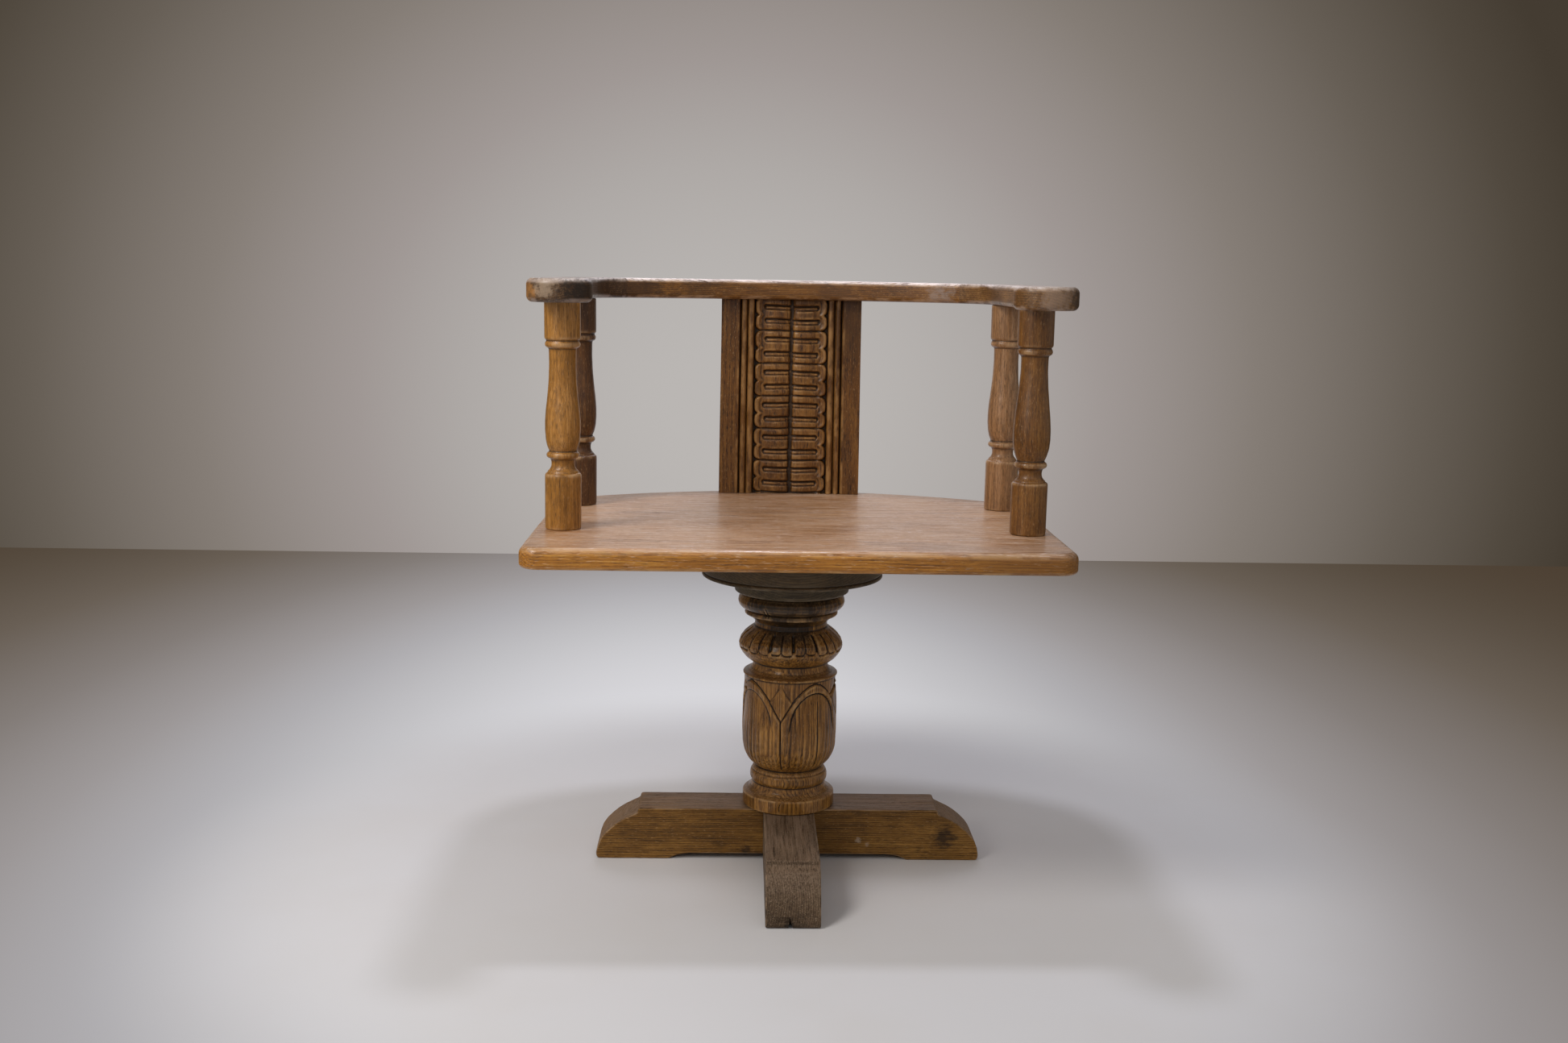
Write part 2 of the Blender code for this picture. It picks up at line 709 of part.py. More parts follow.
def build_discs(column):
    small = piece("cap_disc_small", profile_mesh("cap_disc_small", disc_profile(
        SMALL_DISC_RADIUS, SMALL_DISC_FOOT, SMALL_DISC_THICK, DISC_EDGE_ROUND / 2)), dark_oak, BASE)
    large = piece("cap_disc_large", profile_mesh("cap_disc_large", disc_profile(
        LARGE_DISC_RADIUS, LARGE_DISC_FOOT, LARGE_DISC_THICK, DISC_EDGE_ROUND)), dark_oak, BASE)
    for disc in (small, large):
        turn(disc, DISC_STEPS)
    sunk = LARGE_DISC_TOP - FIT
    holes = screws(
        "cap_screw", CAP_SCREW_LENGTH, CAP_SCREW_RADIUS, CAP_SCREW_HEAD,
        round_places(CAP_SCREW_CIRCLE, sunk, SCREW_COUNT, SCREW_STAGGER), BASE)
    cut(column, holes)
    cut(small, holes)
    cut(large, holes)
    return small, large


# Swivel

def plate_profile(foot, race_side):
    """A round plate with a ball race in its top (1) or its underside (-1)."""
    top = foot + PLATE_THICK
    inner = BALL_CIRCLE - RACE_HALF_WIDTH
    outer = BALL_CIRCLE + RACE_HALF_WIDTH
    floor_in = BALL_CIRCLE - RACE_FLOOR_HALF
    floor_out = BALL_CIRCLE + RACE_FLOOR_HALF
    if race_side > 0:
        face, deep = top, top - RACE_DEPTH
        under = [(0, foot), (PLATE_RADIUS, foot), (PLATE_RADIUS, top)]
        race = [(outer, face), (floor_out, deep), (floor_in, deep), (inner, face)]
        return under + race + [(0, top)]
    face, deep = foot, foot + RACE_DEPTH
    race = [(inner, face), (floor_in, deep), (floor_out, deep), (outer, face)]
    return [(0, foot)] + race + [(PLATE_RADIUS, foot), (PLATE_RADIUS, top), (0, top)]


def build_swivel(column, small_disc, large_disc):
    lower = piece("swivel_plate_lower", profile_mesh(
        "swivel_plate_lower", plate_profile(LOWER_PLATE_FOOT, 1)), steel, BASE)
    upper = piece("swivel_plate_upper", profile_mesh(
        "swivel_plate_upper", plate_profile(UPPER_PLATE_FOOT, -1)), steel, SEAT_AXIS)
    for plate in (lower, upper):
        turn(plate, PLATE_STEPS)

    lower_holes = screws(
        "plate_screw_lower", PLATE_SCREW_LENGTH, PLATE_SCREW_RADIUS, PLATE_SCREW_HEAD,
        round_places(PLATE_SCREW_CIRCLE, LOWER_PLATE_TOP - FIT, SCREW_COUNT), BASE)
    cut(lower, lower_holes)
    cut(large_disc, lower_holes)

    upside_down = Matrix.Rotation(math.pi, 4, "X")
    places = [
        place @ upside_down
        for place in round_places(
            PLATE_SCREW_CIRCLE, UPPER_PLATE_FOOT + FIT, SCREW_COUNT, SCREW_STAGGER)
    ]
    upper_holes = screws(
        "plate_screw_upper", PLATE_SCREW_LENGTH, PLATE_SCREW_RADIUS, PLATE_SCREW_HEAD,
        places, SEAT_AXIS)
    cut(upper, upper_holes)

    washer_foot = UPPER_PLATE_TOP + FIT
    head_foot = washer_foot + KING_WASHER_THICK + FIT
    tip = COLUMN_TOP - KING_BOLT_GRIP
    bolt_hole = cutter("king_bolt_hole", rod_mesh(
        "king_bolt_hole", KING_BOLT_RADIUS + FIT, tip - FIT, head_foot, 2 * HARDWARE_STEPS))
    for made in (column, small_disc, large_disc, lower, upper):
        cut(made, bolt_hole)
    bolt = piece("king_bolt", rod_mesh(
        "king_bolt", KING_HEAD_RADIUS, head_foot, head_foot + KING_HEAD_HEIGHT, HEX), steel, BASE)
    add(bolt, cutter("king_bolt_shank", rod_mesh(
        "king_bolt_shank", KING_BOLT_RADIUS, tip, head_foot + KING_HEAD_HEIGHT / 2,
        2 * HARDWARE_STEPS)))
    washer = piece("king_washer", rod_mesh(
        "king_washer", KING_WASHER_RADIUS, washer_foot, washer_foot + KING_WASHER_THICK,
        2 * HARDWARE_STEPS), steel, BASE)
    cut(washer, bolt_hole)
    king_well = cutter("king_well", rod_mesh(
        "king_well", KING_WASHER_RADIUS + KING_WELL_PLAY, SEAT_FOOT - CUT_PAST,
        head_foot + KING_HEAD_HEIGHT + KING_WELL_PLAY, COLUMN_STEPS))
    return upper_holes, king_well


def build_cage():
    ball = bpy.data.meshes.new("bearing_ball")
    bm = bmesh.new()
    bmesh.ops.create_uvsphere(
        bm, u_segments=HARDWARE_STEPS, v_segments=BALL_RINGS, radius=BALL_RADIUS,
        matrix=CORNER_FORWARD)
    bm.to_mesh(ball)
    bm.free()
    pieces("bearing_ball", ball, steel, CAGE_AXIS, round_places(BALL_CIRCLE, BALL_HEIGHT, BALL_COUNT))

    low = BALL_HEIGHT - RETAINER_THICK / 2
    high = BALL_HEIGHT + RETAINER_THICK / 2
    inner = BALL_CIRCLE - RETAINER_WIDTH / 2
    outer = BALL_CIRCLE + RETAINER_WIDTH / 2
    ring = [(inner, high), (inner, low), (outer, low), (outer, high), (inner, high)]
    retainer = piece("ball_retainer", profile_mesh("ball_retainer", ring), steel, CAGE_AXIS)
    turn(retainer, PLATE_STEPS)
    pocket = rod_mesh("pocket", BALL_RADIUS + FIT, -RETAINER_THICK, RETAINER_THICK)
    pockets = copies(pocket, round_places(BALL_CIRCLE, BALL_HEIGHT, BALL_COUNT))
    cut(retainer, cutter("ball_pockets", pockets))


# Seat

def swept_back(half_width, rear, rear_arc, corner):
    """Centre of a rear arc, centre of the corner that joins it to a straight side, and the
    angle, in degrees, where the two meet."""
    back = Vector((0, rear - rear_arc))
    across = half_width - corner
    up = math.sqrt((rear_arc - corner) ** 2 - across ** 2)
    turn_point = Vector((across, back.y + up))
    return back, turn_point, math.degrees(math.atan2(up, across))


def seat_outline():
    half_width = SEAT_WIDTH / 2
    back, corner, meet = swept_back(half_width, SEAT_REAR, SEAT_REAR_ARC, SEAT_REAR_CORNER)
    front = (half_width - SEAT_FRONT_CORNER, SEAT_FRONT_CORNER - SEAT_FRONT)
    right_side = [(0, -SEAT_FRONT)]
    right_side += arc(front, SEAT_FRONT_CORNER, -90, 0)
    right_side += arc(corner, SEAT_REAR_CORNER, 0, meet)
    right_side += arc(back, SEAT_REAR_ARC, meet, 90)[1:]
    return mirrored(right_side)


def dowels(name, places, parent):
    """A dowel at each place, and the cutter for their holes."""
    half = DOWEL_LENGTH / 2
    peg = rod_mesh(name, DOWEL_RADIUS, -half, half)
    hole = rod_mesh(name + "_holes", DOWEL_RADIUS + FIT, -half - FIT, half + FIT)
    pieces(name, peg, beech, parent, places)
    return cutter(name + "_holes", copies(hole, places))


def seat_dowels(name, seam):
    along_y = Matrix.Rotation(math.pi / 2, 4, "X")
    middle = (SEAT_DOWEL_COUNT - 1) / 2
    places = [
        shift(SEAT_DOWEL_PITCH * (i - middle), seam, SEAT_FOOT + SEAT_THICK / 2) @ along_y
        for i in range(SEAT_DOWEL_COUNT)
    ]
    return dowels(name, places, SEAT_AXIS)


def build_seat(plate_screw_holes, king_well):
    blank = slab_mesh("seat_blank", seat_outline(), SEAT_THICK)
    width = SEAT_WIDTH
    low, high = SEAT_FOOT - CUT_PAST, SEAT_TOP + CUT_PAST
    strips = {
        "front": (-SEAT_FRONT - CUT_PAST, FRONT_SEAM - FIT / 2),
        "middle": (FRONT_SEAM + FIT / 2, REAR_SEAM - FIT / 2),
        "rear": (REAR_SEAM + FIT / 2, SEAT_REAR + CUT_PAST),
    }
    boards = []
    for place, (start, end) in strips.items():
        name = "seat_board_" + place
        board = piece(name, blank.copy(), oak, SEAT_AXIS, shift(z=SEAT_FOOT + SEAT_THICK / 2))
        round_edges(board, min(SEAT_ROUND, ROUND_LIMIT * SEAT_THICK), EDGE_SEGMENTS)
        strip = box_mesh(name + "_strip", (-width, start, low), (width, end, high))
        keep_inside(board, cutter(name + "_strip", strip))
        boards.append(board)
    bpy.data.meshes.remove(blank)

    front_holes = seat_dowels("seat_dowel_front", FRONT_SEAM)
    rear_holes = seat_dowels("seat_dowel_rear", REAR_SEAM)
    for board in boards:
        cut(board, front_holes, rear_holes, plate_screw_holes, king_well)
    return boards


# Spindles

def eased(start, end, steps):
    """From one radius and height to another on a line that leaves and arrives upright."""
    points = []
    for i in range(1, steps):
        t = i / steps
        blend = t * t * (3 - 2 * t)
        points.append((start[0] + (end[0] - start[0]) * blend, start[1] + (end[1] - start[1]) * t))
    return points


def spindle_profile():
    """Radius and height above the seat, from the foot of the lower tenon up."""
    z = SPINDLE_BASE_HEIGHT
    lower = [
        (0, -SPINDLE_FOOT_TENON, 0),
        (SPINDLE_TENON_RADIUS, -SPINDLE_FOOT_TENON, 0),
        (SPINDLE_TENON_RADIUS, 0, 0),
        (SPINDLE_RADIUS, 0, 0),
        (SPINDLE_RADIUS, z, SPINDLE_SHOULDER_BOW),
    ]
    z += SPINDLE_SHOULDER_HEIGHT
    lower.append((SPINDLE_SHOULDER_RADIUS, z, -SPINDLE_COVE_BOW))
    z += SPINDLE_COVE_HEIGHT
    ring_bow = 2 * (SPINDLE_RING_RADIUS - SPINDLE_NECK_RADIUS) / SPINDLE_RING_HEIGHT
    lower.append((SPINDLE_NECK_RADIUS, z, ring_bow))
    z += SPINDLE_RING_HEIGHT
    lower.append((SPINDLE_NECK_RADIUS, z, SPINDLE_BELLY_BOW))
    z += SPINDLE_BELLY_HEIGHT
    lower.append((SPINDLE_BELLY_RADIUS, z, 0))
    belly = (SPINDLE_BELLY_RADIUS, z)
    z += SPINDLE_WAIST_HEIGHT
    waist = (SPINDLE_WAIST_RADIUS, z)
    bead_bow = 2 * (SPINDLE_BEAD_RADIUS - SPINDLE_WAIST_RADIUS) / SPINDLE_BEAD_HEIGHT
    upper = [(*waist, bead_bow)]
    z += SPINDLE_BEAD_HEIGHT
    upper.append((SPINDLE_WAIST_RADIUS, z, 0))
    upper.append((SPINDLE_BEAD_RADIUS - SPINDLE_GROOVE_DEPTH, z, 0))
    z += SPINDLE_GROOVE_HEIGHT
    upper.append((SPINDLE_BEAD_RADIUS, z, 0))
    z += SPINDLE_TOP_HEIGHT
    upper.append((SPINDLE_BEAD_RADIUS, z, 0))
    upper.append((SPINDLE_TENON_RADIUS, z, 0))
    upper.append((SPINDLE_TENON_RADIUS, z + SPINDLE_HEAD_TENON, 0))
    upper.append((0, z + SPINDLE_HEAD_TENON, 0))
    return bowed(lower) + eased(belly, waist, WAIST_STEPS) + bowed(upper)


def build_spindles(boards, rail):
    profile = spindle_profile()
    sockets = rod_mesh(
        "spindle_sockets", SPINDLE_TENON_RADIUS + FIT, -SPINDLE_FOOT_TENON - FIT,
        SPINDLE_HEIGHT + SPINDLE_HEAD_TENON + FIT, SPINDLE_STEPS)
    for row, y in (("front", SPINDLE_FRONT_Y), ("rear", SPINDLE_REAR_Y)):
        for side, sign in (("left", -1), ("right", 1)):
            name = f"spindle_{row}_{side}"
            stand = shift(sign * SPINDLE_X, y, SPINDLE_FOOT)
            spindle = piece(name, profile_mesh(name, profile), oak, SEAT_AXIS, stand)
            turn(spindle, SPINDLE_STEPS)
            socket = cutter(name + "_sockets", sockets, stand)
            for made in boards + rail:
                cut(made, socket)


# Rail

def lobe_side(edge, ease, sign):
    """Where the round end of the arm runs into one edge of the arm (sign 1 outer, -1 inner):
    the centre of the hollow between them, and the angle, in degrees, from the lobe's centre to
    it."""
    hollow_x = edge + sign * ease
    across = hollow_x - LOBE_X
    reach = LOBE_RADIUS + ease
    up = math.sqrt(reach ** 2 - across ** 2)
    return (hollow_x, LOBE_Y + up), math.degrees(math.atan2(up, across))


def rail_corner():
    return swept_back(RAIL_HALF_WIDTH, SEAT_REAR, SEAT_REAR_ARC, RAIL_CORNER)


def rail_outline():
    back, corner, meet = rail_corner()
    inner_edge = RAIL_HALF_WIDTH - RAIL_WIDTH
    lobe = (LOBE_X, LOBE_Y)
    notch, notch_angle = lobe_side(inner_edge, LOBE_NOTCH, -1)
    ease, ease_angle = lobe_side(RAIL_HALF_WIDTH, LOBE_EASE, 1)
    right_side = arc(back, SEAT_REAR_ARC - RAIL_WIDTH, 90, meet)
    right_side += arc(corner, RAIL_CORNER - RAIL_WIDTH, meet, 0)[1:]
    right_side += arc(notch, LOBE_NOTCH, 0, notch_angle - 180)
    right_side += arc(lobe, LOBE_RADIUS, notch_angle, ease_angle + 360)[1:]
    right_side += arc(ease, LOBE_EASE, ease_angle + 180, 180)[1:]
    right_side += arc(corner, RAIL_CORNER, 0, meet)
    right_side += arc(back, SEAT_REAR_ARC, meet, 90)[1:]
    return mirrored(right_side)


def seam_place(sign):
    """The plane of a butt seam as its own frame: X along the rail into the arm, Z up."""
    _, corner, _ = rail_corner()
    angle = math.radians(RAIL_SEAM_ANGLE - 90)
    if sign < 0:
        angle = math.pi - angle
    return shift(sign * corner.x, corner.y, RAIL_FOOT + RAIL_THICK / 2) @ Matrix.Rotation(angle, 4, "Z")


def build_rail():
    blank = slab_mesh("rail_blank", rail_outline(), RAIL_THICK)
    middle = shift(z=RAIL_FOOT + RAIL_THICK / 2)
    far = SEAT_WIDTH
    rounding = min(RAIL_ROUND, ROUND_LIMIT * RAIL_THICK)

    def blank_piece(name):
        made = piece(name, blank.copy(), oak, SEAT_AXIS, middle)
        round_edges(made, rounding, EDGE_SEGMENTS)
        return made

    back_rail = blank_piece("back_rail")
    arms = []
    for side, sign in (("left", -1), ("right", 1)):
        arm = blank_piece("arm_" + side)
        seam = seam_place(sign)
        beyond = box_mesh("beyond_seam", (FIT / 2, -far, -far), (far, far, far))
        keep_inside(arm, cutter(f"arm_{side}_half_space", beyond, seam))
        up_to = box_mesh("arm_space", (-FIT / 2, -far, -far), (far, far, far))
        cut(back_rail, cutter(f"back_rail_{side}_end", up_to, seam))

        radius = RAIL_CORNER - RAIL_WIDTH / 2
        across = [radius - RAIL_DOWEL_SPREAD / 2, radius + RAIL_DOWEL_SPREAD / 2]
        along_x = Matrix.Rotation(math.pi / 2, 4, "Y")
        places = [seam @ shift(y=sign * y) @ along_x for y in across]
        holes = dowels(f"rail_dowel_{side}", places, SEAT_AXIS)
        cut(arm, holes)
        cut(back_rail, holes)
        arms.append(arm)
    bpy.data.meshes.remove(blank)
    return arms, back_rail


# Splat

def splat_outline():
    """Plan of the splat: across, and forward from the middle of its thickness as minus."""
    half = SPLAT_WIDTH / 2
    face = -SPLAT_THICK / 2
    groove = face + SPLAT_GROOVE_DEPTH
    field = face + SPLAT_FIELD_DEPTH
    first = half - SPLAT_BORDER
    second = first - SPLAT_GROOVE_WIDTH - SPLAT_REED_WIDTH
    reed_bow = 2 * SPLAT_GROOVE_DEPTH / SPLAT_REED_WIDTH
    strip_face = face + SPLAT_CARVING_CLEAR
    strip_bow = 2 * (field - strip_face) / SPLAT_CARVING_HALF
    right_side = bowed([
        (0, field, strip_bow),
        (SPLAT_CARVING_HALF, field, 0),
        (second - SPLAT_GROOVE_WIDTH - SPLAT_REED_WIDTH, groove, reed_bow),
        (second - SPLAT_GROOVE_WIDTH, groove, 0),
        (second, groove, reed_bow),
        (second + SPLAT_REED_WIDTH, groove, 0),
        (first, groove, 0),
        (first, face, 0),
        (half, face, 0),
        (half, -face, 0),
        (0, -face, 0),
    ])
    return mirrored(right_side)


def build_splat(boards, back_rail):
    height = RAIL_FOOT - FIT - SPINDLE_FOOT
    middle = shift(0, SPLAT_Y, SPINDLE_FOOT + height / 2)
    splat = piece("back_splat", slab_mesh("back_splat", splat_outline(), height), oak, SEAT_AXIS, middle)
    half = Vector((SPLAT_TENON_WIDTH, SPLAT_TENON_THICK, height + 2 * SPLAT_TENON_LENGTH)) / 2
    play = Vector((FIT, FIT, FIT))
    behind_field = middle @ shift(y=SPLAT_FIELD_DEPTH / 2)
    add(splat, cutter("splat_tenons", box_mesh("splat_tenons", -half, half), behind_field))
    mortises = cutter("splat_mortises", box_mesh(
        "splat_mortises", -half - play, half + play), behind_field)
    for made in boards + [back_rail]:
        cut(made, mortises)


FOOT_SCREW_HOLE = build_cross()
COLUMN = build_column(FOOT_SCREW_HOLE)
SMALL_DISC, LARGE_DISC = build_discs(COLUMN)
PLATE_SCREW_HOLES, KING_WELL = build_swivel(COLUMN, SMALL_DISC, LARGE_DISC)
build_cage()
BOARDS = build_seat(PLATE_SCREW_HOLES, KING_WELL)
ARMS, BACK_RAIL = build_rail()
build_spindles(BOARDS, ARMS + [BACK_RAIL])
build_splat(BOARDS, BACK_RAIL)
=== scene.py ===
import json
import math

import bmesh
import bpy
import numpy as np
from mathutils import Matrix, Vector

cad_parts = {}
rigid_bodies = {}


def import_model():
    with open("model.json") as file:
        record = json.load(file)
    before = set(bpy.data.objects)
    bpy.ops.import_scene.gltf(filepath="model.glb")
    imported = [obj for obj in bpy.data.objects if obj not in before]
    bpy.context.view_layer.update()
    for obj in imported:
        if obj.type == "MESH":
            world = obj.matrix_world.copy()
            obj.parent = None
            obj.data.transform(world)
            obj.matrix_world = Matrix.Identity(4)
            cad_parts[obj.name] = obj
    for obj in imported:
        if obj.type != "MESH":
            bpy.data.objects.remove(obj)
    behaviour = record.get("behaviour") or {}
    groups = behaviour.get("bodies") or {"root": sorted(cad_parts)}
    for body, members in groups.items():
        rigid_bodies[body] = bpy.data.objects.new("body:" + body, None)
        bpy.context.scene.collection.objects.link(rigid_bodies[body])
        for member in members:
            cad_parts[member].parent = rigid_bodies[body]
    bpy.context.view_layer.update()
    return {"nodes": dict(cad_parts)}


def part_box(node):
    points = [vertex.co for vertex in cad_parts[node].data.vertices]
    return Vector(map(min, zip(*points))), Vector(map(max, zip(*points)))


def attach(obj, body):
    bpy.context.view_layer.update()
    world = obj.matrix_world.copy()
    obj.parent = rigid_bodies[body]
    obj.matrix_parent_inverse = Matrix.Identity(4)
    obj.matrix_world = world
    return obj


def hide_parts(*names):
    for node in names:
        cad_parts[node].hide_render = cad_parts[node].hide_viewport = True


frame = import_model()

mm = 0.001
fit = 0.25                       # play in mm that a hidden tenon, dowel or screw has in its hole
standOff = 0.3                   # mm between a spindle or the splat and the boards above and below it
crease = math.radians(42)        # bends sharper than this shade as arrises


# Shader maths

def openSocket(sockets, name):
    if isinstance(name, int):
        return sockets[name]
    return next(s for s in sockets if s.enabled and name in (None, s.name))


class Wire:                      # a value inside a material, so that shader maths reads as plain maths
    def __init__(self, look, socket):
        self.look = look
        self.socket = socket

    def maths(self, operation, *others):
        return self.look.node("ShaderNodeMath", {"operation": operation}, dict(enumerate((self,) + others)))

    def __add__(self, other):
        return self.maths("ADD", other)

    def __sub__(self, other):
        return self.maths("SUBTRACT", other)

    def __mul__(self, other):
        return self.maths("MULTIPLY", other)

    def __rsub__(self, other):
        return self.look.node("ShaderNodeMath", {"operation": "SUBTRACT"}, {0: other, 1: self})

    __radd__ = __add__
    __rmul__ = __mul__

    def eased(self, low, high):  # 0 below low, 1 above high, smooth between
        return self.look.node("ShaderNodeMapRange", {"interpolation_type": "SMOOTHSTEP"},
                              {"Value": self, "From Min": low, "From Max": high})


class Look:                      # a material being put together
    def __init__(self, name):
        self.material = bpy.data.materials.new(name)
        self.material.use_nodes = True
        self.tree = self.material.node_tree
        self.tree.nodes.clear()

    def node(self, kind, settings=None, sockets=None, out=None):
        made = self.tree.nodes.new(kind)
        for name, value in (settings or {}).items():
            if name == "stops":
                for extra in range(len(value) - 2):
                    made.color_ramp.elements.new(0.5)
                for stop, (position, colour) in zip(made.color_ramp.elements, value):
                    stop.position = position
                    stop.color = colour
            else:
                setattr(made, name, value)
        for name, value in (sockets or {}).items():
            socket = openSocket(made.inputs, name)
            if isinstance(value, Wire):
                self.tree.links.new(value.socket, socket)
            else:
                socket.default_value = value
        return Wire(self, openSocket(made.outputs, out)) if len(made.outputs) else made

    def mix(self, share, first, second, blend="MIX"):
        return self.node("ShaderNodeMix", {"data_type": "RGBA", "blend_type": blend},
                         {"Factor": share, "A": first, "B": second})

    def ramp(self, share, stops):
        return self.node("ShaderNodeValToRGB", {"stops": [(at, tone(code)) for at, code in stops]}, {0: share}, 0)

    def split(self, vector):
        parts = self.node("ShaderNodeSeparateXYZ", sockets={0: vector}).socket.node
        return [Wire(self, s) for s in parts.outputs]

    def surface(self, shader):
        self.node("ShaderNodeOutputMaterial", sockets={"Surface": shader})
        return self.material


def tone(code):                  # a colour as it looks on screen, as six hex digits
    parts = [int(code[i:i + 2], 16) / 255 for i in (0, 2, 4)]
    return tuple(((p + 0.055) / 1.055) ** 2.4 if p > 0.04 else p / 12.92 for p in parts) + (1,)


# Oak

oakPlain = {
    "grain": "Z",                # axis that the fibres run along
    "pith": (0.09, 0.16),        # where the heart of the tree was, beside the piece
    "ringGap": 2.6 * mm,
    "wander": 8 * mm,            # how far the rings stray from true circles
    "shades": ("4a3018", "8a6032", "b08450"),    # dark, middle and light grain
    "streaks": 0.6,
    "patches": 0.55,
    "rings": 0.2,
    "blot": "2c1a0a",            # old dark stains
    "blots": 0.3,
    "fleck": "c8a274",           # the pale flecks of the rays
    "flecks": 0.3,
    "fleckLong": 5 * mm,
    "pore": "2a170a",
    "pores": 0.6,
    "poreWide": 0.8 * mm,
    "poreLong": 10 * mm,
    "ringPores": 0.65,           # share of the pores that keeps to the rings
    "grimeAndShade": "190f07",           # dirt in hollows, and painted shade there
    "grimeAndShadeShare": 0.8,
    "worn": "c09a68",            # on ridges and arrises
    "wear": 0.5,
    "dustAndSheen": "a58b7d",            # dull wax and dust on faces that look up, with a painted reflection of light there
    "dustAndSheenShare": 0.0,
    "glint": "ece0e0",           # painted glints: whitish flecks on the faces that look up
    "glintShare": 0.0,
    "spots": [],                 # (place in mm, reach in mm, colour, share) of marks, stains and knots, and of painted light and shade where noted
    "rough": 0.45,
    "coat": 0.15,
    "coatRough": 0.35,
    "shine": 0.35,
    "bump": 0.4,
}


def oakLook(name, **changes):
    oak = {**oakPlain, **changes}
    look = Look(name)
    place = look.node("ShaderNodeTexCoord", out="Object")
    x, y, z = look.split(place)
    across, through, along = {"X": (y, z, x), "Y": (z, x, y), "Z": (x, y, z)}[oak["grain"]]

    def grainNoise(wide, long, detail, offset):
        spot = look.node("ShaderNodeCombineXYZ", sockets={
            0: across * (1 / wide) + offset, 1: through * (1 / wide), 2: along * (1 / long)})
        return look.node("ShaderNodeTexNoise", {"noise_dimensions": "3D"},
                         {"Vector": spot, "Scale": 1.0, "Detail": detail, "Roughness": 0.6}, 0)

    stray = (grainNoise(0.11, 0.6, 2, 3.1) - 0.5) * oak["wander"] * 2
    fromPith = [across - oak["pith"][0], through - oak["pith"][1]]
    radius = (fromPith[0] * fromPith[0] + fromPith[1] * fromPith[1]).maths("SQRT") + stray
    cycle = (radius * (1 / oak["ringGap"])).maths("FRACT")
    early = 1 - cycle.eased(0.08, 0.6) + cycle.eased(0.9, 1)          # the open, spring side of a ring

    fibre = grainNoise(2.4 * mm, 70 * mm, 4, 11.7)
    patch = grainNoise(40 * mm, 110 * mm, 3, 5.3)
    blot = grainNoise(7 * mm, 24 * mm, 4, 33.1).eased(0.52, 0.7)
    fleck = grainNoise(1.3 * mm, oak["fleckLong"], 2, 47.9).eased(0.58, 0.72)
    vessel = grainNoise(oak["poreWide"], oak["poreLong"], 2, 0.4).eased(0.52, 0.66)
    fineVessel = grainNoise(oak["poreWide"] * 0.45, oak["poreLong"] * 0.5, 0, 7.9).eased(0.55, 0.75)
    pores = vessel * (1 - oak["ringPores"] + oak["ringPores"] * early) + fineVessel * 0.35

    shade = 0.5 + (fibre - 0.5) * (1.8 * oak["streaks"]) + (patch - 0.5) * (1.8 * oak["patches"])
    shade = shade + (0.5 - early) * oak["rings"]
    wood = look.ramp(shade, zip((0.0, 0.5, 1.0), oak["shades"]))
    wood = look.mix(blot * oak["blots"], wood, tone(oak["blot"]))
    wood = look.mix(fleck * oak["flecks"], wood, tone(oak["fleck"]))
    wood = look.mix((pores * oak["pores"]).maths("MINIMUM", 1), wood, tone(oak["pore"]))
    for at, reach, colour, share in oak["spots"]:
        away = look.node("ShaderNodeVectorMath", {"operation": "DISTANCE"},
                         {0: place, 1: [a * mm for a in at]}, "Value")
        torn = (grainNoise(0.35 * reach * mm, 0.8 * reach * mm, 4, 61.7) - 0.5) * 2.4
        mark = 1 - (away * (1 / (reach * mm)) + torn + (fibre - 0.5) * 0.9).eased(0.35, 1.2)
        wood = look.mix(mark * share, wood, tone(colour))

    relief = look.node("ShaderNodeAttribute", {"attribute_name": "relief"}, out="Fac")
    # hollows take a dark colour: dirt, and painted shade
    hollow = (0 - relief).eased(0.02, 0.55)
    rub = grainNoise(14 * mm, 30 * mm, 3, 21.3).eased(0.4, 0.62)
    ridge = relief.eased(0.08, 0.6) * rub
    wood = look.mix(ridge * oak["wear"], wood, tone(oak["worn"]))
    wood = look.mix(hollow * oak["grimeAndShadeShare"], wood, tone(oak["grimeAndShade"]))
    # faces that look up are paled: dust and wax, and a painted reflection of light
    if oak["dustAndSheenShare"]:
        level = look.split(look.node("ShaderNodeTexCoord", out="Normal"))[2].eased(0.3, 0.95)
        cover = 0.56 + (fibre - 0.5) * 3.0 + (patch - 0.5) * 0.8 + fleck * 0.4 - pores * 0.3
        wood = look.mix((level * cover * oak["dustAndSheenShare"]).maths("MINIMUM", 0.9), wood, tone(oak["dustAndSheen"]))
        # painted glints: whitish flecks on the faces that look up
        wood = look.mix(level * fleck * (fibre - 0.3) * oak["glintShare"], wood, tone(oak["glint"]))

    rough = oak["rough"] + pores * 0.2 + hollow * 0.25 - ridge * 0.1 + (patch - 0.5) * 0.35
    height = (fibre - 0.5) * 0.9 - pores * 0.7
    bump = look.node("ShaderNodeBump", sockets={
        "Strength": oak["bump"], "Distance": 0.5 * mm, "Height": height})
    return look.surface(look.node("ShaderNodeBsdfPrincipled", sockets={
        "Base Color": wood, "Roughness": rough.maths("MINIMUM", 0.95), "Normal": bump,
        "Specular IOR Level": oak["shine"], "Coat Weight": oak["coat"], "Coat Roughness": oak["coatRough"]}))


# Hidden metal and dowels

metal = {
    "zinc_steel": {"clean": "b9bbbd", "rust": "6b5a4a", "rough": 0.28},
    "hardened_steel": {"clean": "8d9093", "rust": "4a3a2e", "rough": 0.2},
    "clouds": 90.0,              # to the metre
    "scratches": (900, 90, 300),
}


